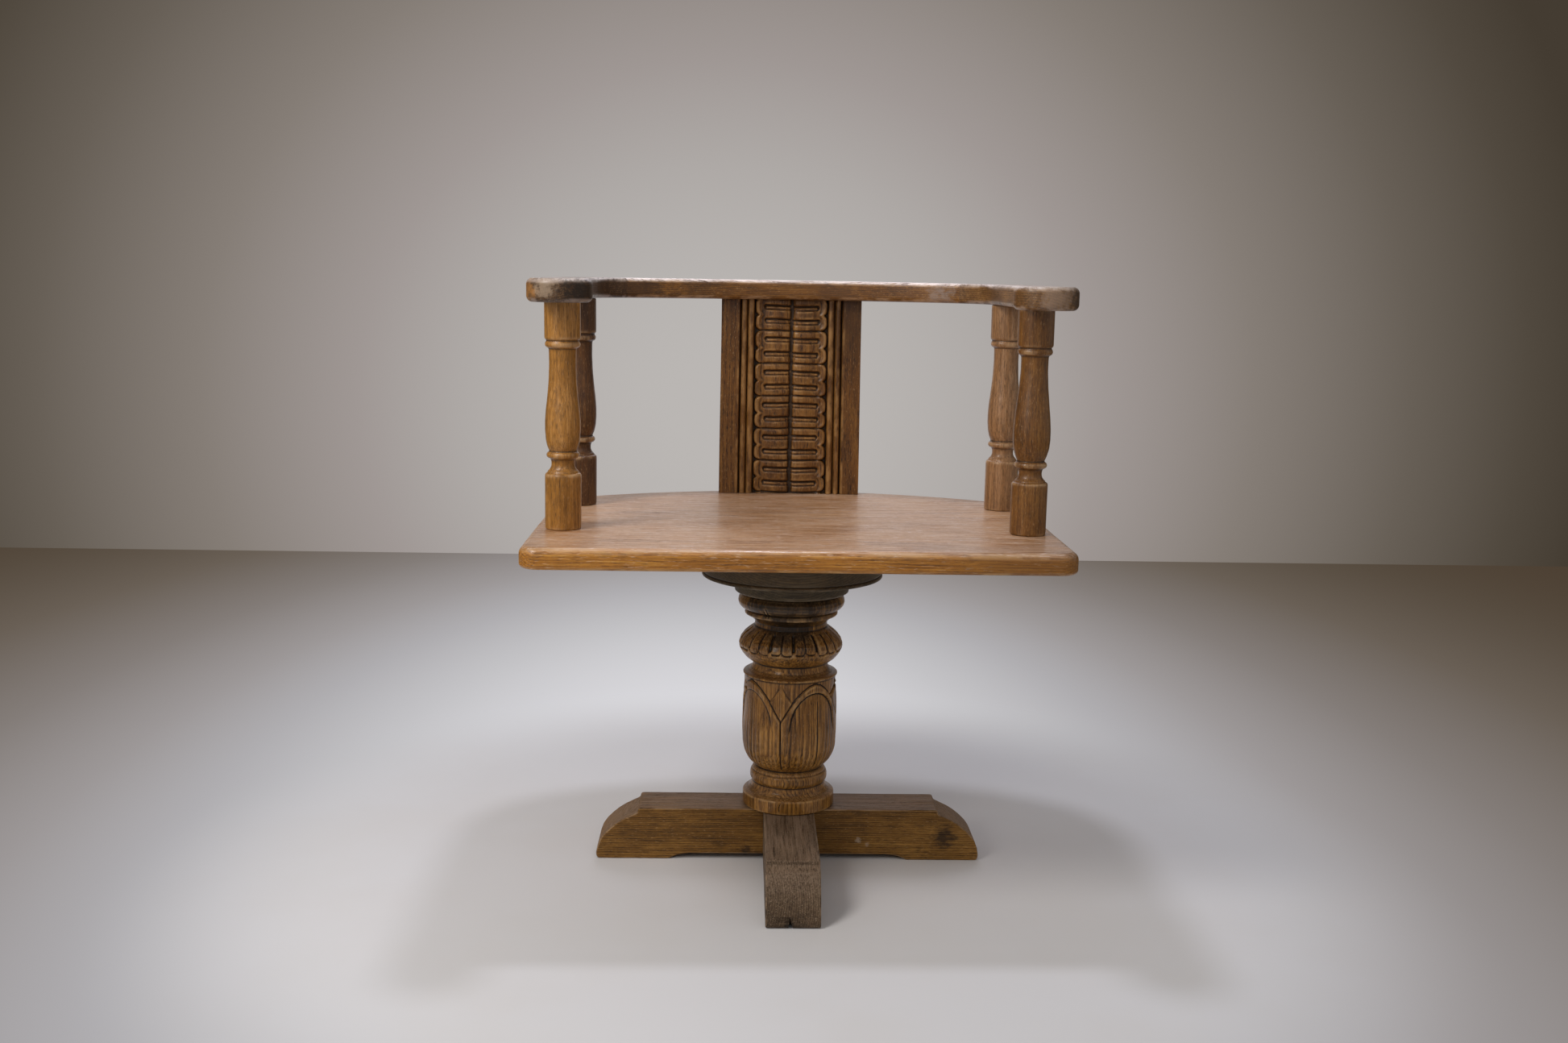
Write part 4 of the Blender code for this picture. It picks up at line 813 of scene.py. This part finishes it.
for name, pith in seat["piths"].items():
    low, high = cornersOf(name)
    outline, seamed = boardOutline(low[1], high[1])
    board = slab(name.replace("seat_board", "oak_seat"), outline, low[2], high[2], seat["rounding"], seamed=seamed)
    wells = []
    if name == "seat_board_middle":
        wellRadius, room = seat["well"]
        wellTop = cornersOf("king_bolt")[1][2] + room
        wells = [turned("well", np.array([(wellRadius, low[2] - 3), (wellRadius, wellTop)]), 48)]
    letIn(board, *seatJoints[name], *numbered("plate_screw_upper", 4), extra=wells)
    dress(board, oakLook(name + "_oak", pith=pith, **seatOak), "seat", "seat_oak", name)


# Spindles

spindle = {
    "mouldings": [               # radius, height above the seat, bow
        (19.8, 0), (20.6, 0.8), (20.6, 57.8, 0.2), (19.4, 60), (17.8, 60.4), (17.5, 62, -0.28), (13.2, 70, -0.12),
        (14.4, 75.6), (16.6, 76.6, 0.66), (16.4, 83.4), (15.4, 84.3), (15.9, 85.6, 0.06), (19, 94.4, 0.08),
        (20.5, 103, 0.05), (21, 113, 0.03), (20.6, 126, 0.02), (19, 143), (17.3, 160, -0.02), (15.9, 178, -0.03),
        (15.4, 194, -0.03), (15.7, 203.4), (17.6, 204.4), (19.2, 205.6, 0.25), (19.3, 210.4), (18.2, 211.6),
        (18.3, 212.8), (19.8, 213.8), (20.3, 215.2), (20.3, 255), (19.6, 256),
    ],
    "length": 256,
    "tenon": 11,                 # radius
    "pithAway": 0.3,             # m from the middle of the spindle
    "around": 150,
    "fineness": 0.7,
}
spindleOak = {"worn": "cda87c", "rings": 0.06, "ringPores": 0.25, "streaks": 0.75, "rough": 0.38, "coat": 0.35,
              "coatRough": 0.28, "wear": 0.5}
turnedByEye = {                  # mm that the cove lies higher and the belly stands out, way to the pith, tones
    "spindle_front_left": (4, -1, 20, ("64400f", "a06c26", "c89250")),
    "spindle_front_right": (0, 0.2, 75, ("402608", "704616", "96682e")),
    # the rear left is darkened: painted shadow of the front left spindle
    "spindle_rear_left": (2, -0.6, 140, ("2e1805", "502e0c", "744a1e")),
    # the rear right is paled: painted highlight
    "spindle_rear_right": (2.6, -0.7, 200, ("5c3c20", "9a7048", "bc9470")),
}
spindleLine = softened(evened(bowed(spindle["mouldings"], 0.5), spindle["fineness"]), 2)
for name, (cove, belly, way, shades) in turnedByEye.items():
    low, high = cornersOf(name)
    centre = (low + high) / 2
    foot = seatHigh[2] + standOff
    height = spindleLine[:, 1]
    line = spindleLine + np.stack([belly * between(height, 88, 104, 150, 200),
                                   cove * between(height, 45, 66, 90, 150)], 1)
    tenon, length = spindle["tenon"], spindle["length"]
    made = turned(name.replace("spindle", "oak_spindle"), line, spindle["around"],
                  [(tenon - 0.1, low[2] - foot), (tenon, low[2] - foot + 1), (tenon, 0)],
                  [(tenon, length), (tenon, high[2] - foot - 1), (tenon - 0.1, high[2] - foot)],
                  centre=centre[:2], lift=foot, wobble=0.15)
    pith = centre[:2] * mm + spindle["pithAway"] * np.array([math.cos(way), math.sin(way)])
    dress(made, oakLook(name + "_oak", pith=tuple(pith), shades=shades, **spindleOak), "seat", "spindle_oak", name)


# Rail, in three pieces

rail = {
    "width": 50,
    "corner": 130,               # radius of the outer edge where the arms turn into the back
    "rounding": (6, 6.5),
    "seamAngle": 53,             # degrees round that corner
    "seamGap": 0.15,             # mm that each side of the seam stands back
    "lobe": 35,                  # radius of the rounded end of an arm
    "lobeSwell": 2,              # mm that it stands out past the arm's side
    "notch": 12,                 # radius of the hollow inside the lobe
    "ease": 60,                  # and of the one outside
}
# the pale colour on faces that look up paints a reflection along the tops of the arms
armOak = {"grain": "Y", "rough": 0.42, "coat": 0.25, "wear": 0.6, "dustAndSheen": "b8aca4", "dustAndSheenShare": 1.0}
railOak = {
    "back_rail": {
        "grain": "X", "pith": (0.2, -0.9), "shades": ("3a2008", "704614", "9a6a2a"), "worn": "c4a07c",
        # the near-white colour on faces that look up, at a high share, paints the highlight along the top of the rail
        "rough": 0.36, "coat": 0.35, "wear": 0.6, "dustAndSheen": "f4e6e2", "dustAndSheenShare": 1.5, "spots": [
            ((190, 140, 690), 19, "a3948c", 0.45), ((-205, 130, 694), 50, "3a2410", 0.7),
            ((-120, 160, 700), 30, "33200d", 0.4), ((60, 173, 690), 26, "4a2c10", 0.5)]},
    "arm_left": {
        **armOak, "pith": (0.4, -0.2), "shades": ("24160a", "452c14", "6e4e2c"), "worn": "a8968a", "spots": [
            ((-292, -206, 694), 24, "9a6a34", 0.85), ((-271, -235, 700), 14, "a08a72", 0.6),
            ((-232, -226, 694), 26, "20150b", 0.75)]},
    "arm_right": {
        **armOak, "pith": (0.4, 0.2), "shades": ("3e260e", "6e4a22", "9a7444"), "worn": "b8a08c", "spots": [
            # the second spot here, pale, on the lobe, is a painted glint
            ((290, -212, 690), 22, "2c1c0d", 0.7), ((262, -238, 697), 20, "9a8270", 0.6),
            ((226, -150, 700), 30, "8a602e", 0.5)]},
}
armLow, armHigh = cornersOf("arm_right")
railLow, railHigh = cornersOf("back_rail")
railHalf = armHigh[0] - rail["lobeSwell"]
lobe = (armHigh[0] - rail["lobe"], armLow[1] + rail["lobe"])
railBack, railCorner, railMeet = sweptBack(railHalf, railHigh[1], seat["rearArc"], rail["corner"])


def besideLobe(edge, ease, sign):            # centre of the hollow beside the lobe, and the angle to it
    hollow = edge + sign * ease
    up = math.sqrt((rail["lobe"] + ease) ** 2 - (hollow - lobe[0]) ** 2)
    return (hollow, lobe[1] + up), math.degrees(math.atan2(up, hollow - lobe[0]))


def acrossSeam(start, end):
    angle = math.radians(rail["seamAngle"])
    back = rail["seamGap"] * np.array([math.sin(angle), -math.cos(angle)]) * (1 if start < end else -1)
    spoke = np.array([math.cos(angle), math.sin(angle)])
    return straight(railCorner + spoke * start, railCorner + spoke * end) + back


def armOutline():                # right arm, anticlockwise from the inner end of its seam
    inner, outer, seam = rail["corner"] - rail["width"], rail["corner"], rail["seamAngle"]
    notch, notchAngle = besideLobe(railHalf - rail["width"], rail["notch"], -1)
    ease, easeAngle = besideLobe(railHalf, rail["ease"], 1)
    joint = acrossSeam(outer, inner)
    outline = np.concatenate([
        arc(railCorner, inner, seam, 0)[1:],
        arc(notch, rail["notch"], 0, notchAngle - 180, 1.5),
        arc(lobe, rail["lobe"], notchAngle, easeAngle + 360)[1:],
        arc(ease, rail["ease"], easeAngle + 180, 180)[1:],
        arc(railCorner, outer, 0, seam)[:-1],
        joint])
    return outline, np.arange(len(outline)) >= len(outline) - len(joint)


def backOutline():
    inner, outer, seam = rail["corner"] - rail["width"], rail["corner"], rail["seamAngle"]
    rear = seat["rearArc"]
    outside = np.concatenate([arc(railCorner, outer, seam, railMeet)[1:], arc(railBack, rear, railMeet, 90)[1:]])
    inside = np.concatenate([arc(railBack, rear - rail["width"], 90, railMeet),
                             arc(railCorner, inner, railMeet, seam)[1:-1]])
    joint = acrossSeam(inner, outer)
    bits = [joint, outside, outside[::-1][1:] * mirror, joint[::-1] * mirror, inside[::-1][:-1] * mirror, inside]
    seamed = [np.full(len(bit), order in (0, 3)) for order, bit in enumerate(bits)]
    return np.concatenate(bits), np.concatenate(seamed)


arm, armSeam = armOutline()
railShapes = {"arm_right": (arm, armSeam), "arm_left": (arm[::-1] * mirror, armSeam[::-1]),
              "back_rail": backOutline()}
leftDowels, rightDowels = numbered("rail_dowel_left", 2), numbered("rail_dowel_right", 2)
railJoints = {
    "arm_right": rightDowels + ["spindle_front_right", "spindle_rear_right"],
    "arm_left": leftDowels + ["spindle_front_left", "spindle_rear_left"],
    "back_rail": leftDowels + rightDowels + ["back_splat", "spindle_rear_left", "spindle_rear_right"],
}
for name, (outline, seamed) in railShapes.items():
    low, high = cornersOf(name)
    made = slab("oak_" + name, outline, low[2], high[2], rail["rounding"], seamed=seamed, wear=0.6)
    letIn(made, *railJoints[name])
    dress(made, oakLook(name + "_oak", **railOak[name]), "seat", "rail_oak", name)


# Carved splat

splat = {
    "fineness": 0.7,
    "border": 24.5,
    "reeds": [(59.2, 66.3), (49.3, 57.2)],       # between these distances from the middle
    "grooves": 5.2,              # depth beside the reeds
    "ground": 8,                 # depth around the carved strip
    "middle": 0.7,               # the V between the two rolls lies a little to the right
    "roll": [                    # from the V outwards, and down from the face
        (0, -7.2), (1.8, -6.4), (3.8, -3.2), (8, -1.5), (13, -0.8), (20, -0.6), (27, -1.3), (33, -2.6), (38, -3.5),
        (50, -3.8)],
    "unit": 42.8,                # height of each carved unit
    "start": 2.4,                # mm above the splat's top, where the first one begins
    "reach": 47.6,               # of the strip's scalloped edge
    "corner": 8.5,
    "notch": (0.53, 2.8, 2.2),   # down the unit, depth, half width
    "lip": 2.1,                  # rise of the scalloped edge
    "slots": [(0.29, -34.9, 36.8), (0.722, -34.2, 36.2)],        # down the unit, left end, right end
    "slotHalf": 2.75,
    "slotDepth": 3.6,
    "half": 93,                  # of the splat's width at its foot
    "taper": 0.014,              # share by which it narrows to its top
    "back": 1,                   # rounding of the rear arrises
}
splatOak = {"pith": (0.05, 0.5), "shades": ("402408", "6c4418", "986a2e"), "worn": "b88c56", "grimeAndShadeShare": 0.85,
            "wear": 0.5, "pores": 0.95, "poreWide": 1.2 * mm, "rough": 0.42, "coat": 0.2,
            # the dark spot at the top right is a painted shadow of the rail
            "spots": [((84, 187, 665), 70, "3c240c", 0.6)]}


def stripCarving(x, down, unit):             # height over the face of the border
    pitch = splat["unit"]
    away = np.abs(x - splat["middle"] - 0.35 * np.sin(unit * 1.9 + down / 9))
    near = np.minimum(down, pitch - down)
    corner = splat["corner"] + 0.9 * np.sin(unit * 2.3 + (x > 0))
    edge = splat["reach"] - corner * (1 - np.sqrt(np.clip(1 - np.clip(1 - near / corner, 0, 1) ** 2, 0, 1)))
    at, deep, half = splat["notch"]
    notch = np.abs(down - (at + 0.02 * np.sin(unit * 3.1)) * pitch)
    edge = edge - deep * np.exp(-(notch / half) ** 2) - 0.9 * np.exp(-(notch / 6) ** 2)
    inside = edge - np.abs(x - 0.2)
    strip = np.interp(away, *zip(*splat["roll"]))
    strip = np.where(away > 12, np.maximum(strip, -3.8 + splat["lip"] * (1 - rise(inside, 3, 9.5))), strip)
    strip = strip + scored(near, 1.7, 2.2) * rise(away, 1, 4) - 0.7 * (1 - rise(near, 0, 4))
    for place, left, right in splat["slots"]:
        level = place * pitch + np.where(x > 0, 0.9, 0) + 0.3 * np.sin(unit * 2.7 + place * 5)
        end = np.where(x > 0, right, -left) + 0.9 * np.sin(unit * 1.7 + place * 9 + (x > 0) * 2)
        over = np.abs(down - level) - splat["slotHalf"] + 1.6
        beyond = np.abs(x) - end + 1.6
        gap = np.hypot(np.maximum(over, 0), np.maximum(beyond, 0)) + np.minimum(np.maximum(over, beyond), 0) - 1.6
        upper = rise(level - down, -1.6, 1.2)                        # cut deeper along the upper edge
        line = scored(gap, 2.3, splat["slotDepth"]) * upper + scored(gap, 1.3, 1.9) * (1 - upper)
        strip = strip + (line - 1.1 * rise(-gap, -0.2, 1.2)) * rise(away, 0.8, 3)
    strip = strip - 1.2 * (1 - rise(inside, 0, 1.6))
    return -splat["ground"] + (strip + splat["ground"]) * rise(inside, -0.7, 0.35)


def splatCarving(x, z, top):
    out = np.abs(x)
    face = np.where(out < splat["half"] - splat["border"], -splat["grooves"], 0)
    for inner, outer in splat["reeds"]:
        half = (outer - inner) / 2
        crown = np.sqrt(np.clip(1 - ((out - inner - half) / half) ** 2, 0, 1))
        face = np.where(np.abs(out - inner - half) <= half, -3.2 + 3.2 * crown, face)
    deep = top + splat["start"] - z + 0.5 * np.sin(x / 14 + z / 40)
    strip = stripCarving(x, deep % splat["unit"], np.floor(deep / splat["unit"]))
    return np.where(out < splat["reeds"][1][0], np.maximum(strip, -splat["ground"]), face)


low, high = cornersOf("back_splat")
bottom, top = seatHigh[2] + standOff, railLow[2] - standOff
columns = round((high[0] - low[0]) / splat["fineness"]) + 1
rows = round((top - bottom) / splat["fineness"]) + 1
x = np.linspace(low[0], high[0], columns)[None, :] + np.zeros((rows, 1))
z = np.linspace(top, bottom, rows)[:, None] + np.zeros((1, columns))
chatter = blur(np.random.default_rng(7).normal(size=x.shape), 3)     # the marks of the gouge
carving = blur(splatCarving(x, z, top), 1) + 0.16 * chatter * (np.abs(x) < 46)
net = np.stack([x * (1 - splat["taper"] * rise(z, bottom, top)), low[1] - np.minimum(carving, 0), z], -1)
# the reeds are painted lighter with the worn colour, standing in for light they miss between the grooves; the broad
# term darkens wide hollows as painted shade
reed = np.exp(-((np.abs(x) - 58) / 9) ** 2)
relief = -proudness(net, False, 6) - 0.5 * proudness(net, False, 30) * (1 - reed) + 0.5 * reed
index = np.arange(rows * columns).reshape(rows, columns)
previous = np.concatenate([index[0, :-1], index[:-1, -1], index[-1, :0:-1], index[:0:-1, 0]])
points = net.reshape(-1, 3)
edge, count = points[previous], len(previous)
parts, faces = [points], netFaces(rows, columns, False)
for order, share in enumerate((0, 0.3, 1, 4)):           # round the rear arrises, then in over the back
    inset = share * splat["back"]
    ring = edge.copy()
    ring[:, 0] -= np.sign(ring[:, 0]) * np.clip(np.abs(ring[:, 0]) - (np.abs(ring[:, 0]).max() - inset), 0, None)
    ring[:, 1] = high[1] - max(0, splat["back"] - inset)
    ring[:, 2] = np.clip(ring[:, 2], bottom + inset, top - inset)
    parts.append(ring)
    current = len(points) + order * count + np.arange(count)
    faces += np.stack([previous, np.roll(previous, -1), np.roll(current, -1), current], 1).tolist()
    previous = current
faces.append(previous.tolist())
relief = np.concatenate([relief.ravel(), np.zeros(count * (len(parts) - 1))])
board = lay("oak_splat", np.concatenate(parts), faces, relief)
dress(board, oakLook("splat_oak", **splatOak), "seat", "splat_oak", "back_splat")


# Floor and wall

room = {
    "wallAt": 2.05,              # m behind the chair
    "reach": (5, 4, 4),          # m to each side, in front of the chair and up
    "wallGlow": (0.717, 0.017, -0.083, 0.377, 2.06, 1.882),  # painted pool of light: rise, least, middle across and up, reach across and up
    "floorGlow": (0.62, 0.25, -0.116, 0.313, 1.13, 2.25),
    "near": (0.5, 0.82),         # m from the chair: floor lit by the lamps, and floor that shows its painted pool of light
    "wallTones": [(0.24, "443c32"), (0.29, "51493f"), (0.37, "675f56"), (0.49, "857d76"), (0.60, "9f9794"),
                  (0.665, "aea9a6"), (0.73, "bab6b3")],
    "floorTones": [(0.24, "483a2c"), (0.29, "564b3f"), (0.37, "695f55"), (0.49, "837c78"), (0.60, "9c9797"),
                   (0.685, "afadb0"), (0.766, "c3c2c5"), (0.86, "dad9dd")],
    "wallPaint": "a8a29c",
    "floorPaint": "d6d6d9",
    "floorMottle": "cfccca",
}


def wide(name, corners, look):
    mesh = bpy.data.meshes.new(name)
    mesh.from_pydata(corners, [], [(0, 1, 2, 3)])
    mesh.materials.append(look)
    stand(name, mesh)


def glow(look, across, up, numbers, tones):
    # painted light: the colour of a softly lit surface that darkens away from its middle
    most, least, middleAcross, middleUp, reachAcross, reachUp = numbers
    a = (across - middleAcross) * (1 / reachAcross)
    b = (up - middleUp) * (1 / reachUp)
    return look.ramp((0 - (a * a + b * b)).maths("EXPONENT") * most + least, tones)


def seenOnly(look, colour, share, underneath):
    # a painted glow: shows a colour as emitted light where the surface is only seen, directly or in a gloss
    path = look.node("ShaderNodeLightPath").socket.node
    seen = (Wire(look, path.outputs["Is Camera Ray"]) + Wire(look, path.outputs["Is Glossy Ray"])
            + Wire(look, path.outputs["Is Transmission Ray"])).maths("MINIMUM", 1)
    shown = look.node("ShaderNodeEmission", sockets={"Color": colour, "Strength": 1.0})
    return look.surface(look.node("ShaderNodeMixShader", sockets={0: seen * share, 1: underneath, 2: shown}))


def wallLook():
    look = Look("plaster_wall")
    x, _, z = look.split(look.node("ShaderNodeTexCoord", out="Object"))
    colour = glow(look, x, z, room["wallGlow"], room["wallTones"])
    paint = look.node("ShaderNodeBsdfDiffuse", sockets={"Color": tone(room["wallPaint"])})
    return seenOnly(look, colour, 1.0, paint)


def floorLook():
    look = Look("painted_floor")
    place = look.node("ShaderNodeTexCoord", out="Object")
    x, y, _ = look.split(place)
    colour = glow(look, x, y, room["floorGlow"], room["floorTones"])
    mottle = look.node("ShaderNodeTexNoise", sockets={"Vector": place, "Scale": 4.0, "Detail": 5.0}, out=0)
    paint = look.mix(mottle.eased(0.4, 0.65) * 0.25, tone(room["floorPaint"]), tone(room["floorMottle"]))
    bump = look.node("ShaderNodeBump", sockets={"Strength": 0.1, "Distance": 1 * mm, "Height": mottle})
    flat = look.node("ShaderNodeBsdfPrincipled", sockets={"Base Color": paint, "Roughness": 0.8, "Normal": bump})
    away = (x * x + (y + 0.05) * (y + 0.05)).maths("SQRT").eased(*room["near"])
    return seenOnly(look, colour, away, flat)


across, ahead, up = room["reach"]
back = room["wallAt"]
wide("floor", [(-across, -ahead, 0), (across, -ahead, 0), (across, back, 0), (-across, back, 0)], floorLook())
wide("wall", [(-across, back, 0), (across, back, 0), (across, back, up), (-across, back, up)], wallLook())
print("room: floor and wall")


# Lights

studio = {                       # place and size in m
    "overhead": {"place": (-0.02, 0.1, 2.1), "size": 0.14, "power": 8, "colour": "f2f4ff"},
    "left": {"place": (-1.0, -0.75, 1.6), "size": 0.55, "power": 13, "colour": "fffaf4"},
    "low": {"place": (-1.1, -1.3, 1.1), "size": 0.5, "power": 4, "colour": "fff8ee"},
    "front": {"place": (0.5, -2.4, 2.2), "size": 2.2, "power": 6, "colour": "fff8f0"},
    "rear": {"place": (0.1, 1.6, 1.7), "size": 1.2, "power": 7, "colour": "f8f4ff"},
}
aim = Vector((0, 0, 0.4))
air = {"colour": "f4f2f0", "strength": 0.4}
for name, light in studio.items():
    lamp = bpy.data.lights.new(name, "AREA")
    lamp.shape = "DISK"
    lamp.size = light["size"]
    lamp.energy = light["power"]
    lamp.color = tone(light["colour"])[:3]
    made = stand(name, lamp)
    made.location = light["place"]
    made.rotation_euler = (aim - Vector(light["place"])).to_track_quat("-Z", "Y").to_euler()
world = bpy.data.worlds.new("studio")
bpy.context.scene.world = world
world.use_nodes = True
background = world.node_tree.nodes["Background"].inputs
background["Color"].default_value = tone(air["colour"])
background["Strength"].default_value = air["strength"]
print(f"lights: {len(studio)} lamps")


# Camera

view = {
    "place": (-0.067784, -1.872872, 0.71836),
    "turn": -0.03036,            # radians
    "down": 0.15825,
    "lean": 0.0177,
    "lens": 35.769,              # mm, on a sensor 36 mm wide
}
lens = bpy.data.cameras.new("camera")
lens.lens = view["lens"]
lens.sensor_width = 36
camera = stand("camera", lens)
camera.matrix_world = (
    Matrix.Translation(view["place"]) @ Matrix.Rotation(view["turn"], 4, "Z")
    @ Matrix.Rotation(math.pi / 2 - view["down"], 4, "X") @ Matrix.Rotation(view["lean"], 4, "Z"))
bpy.context.scene.camera = camera
bpy.context.scene.view_settings.view_transform = "Standard"
print("camera: placed")
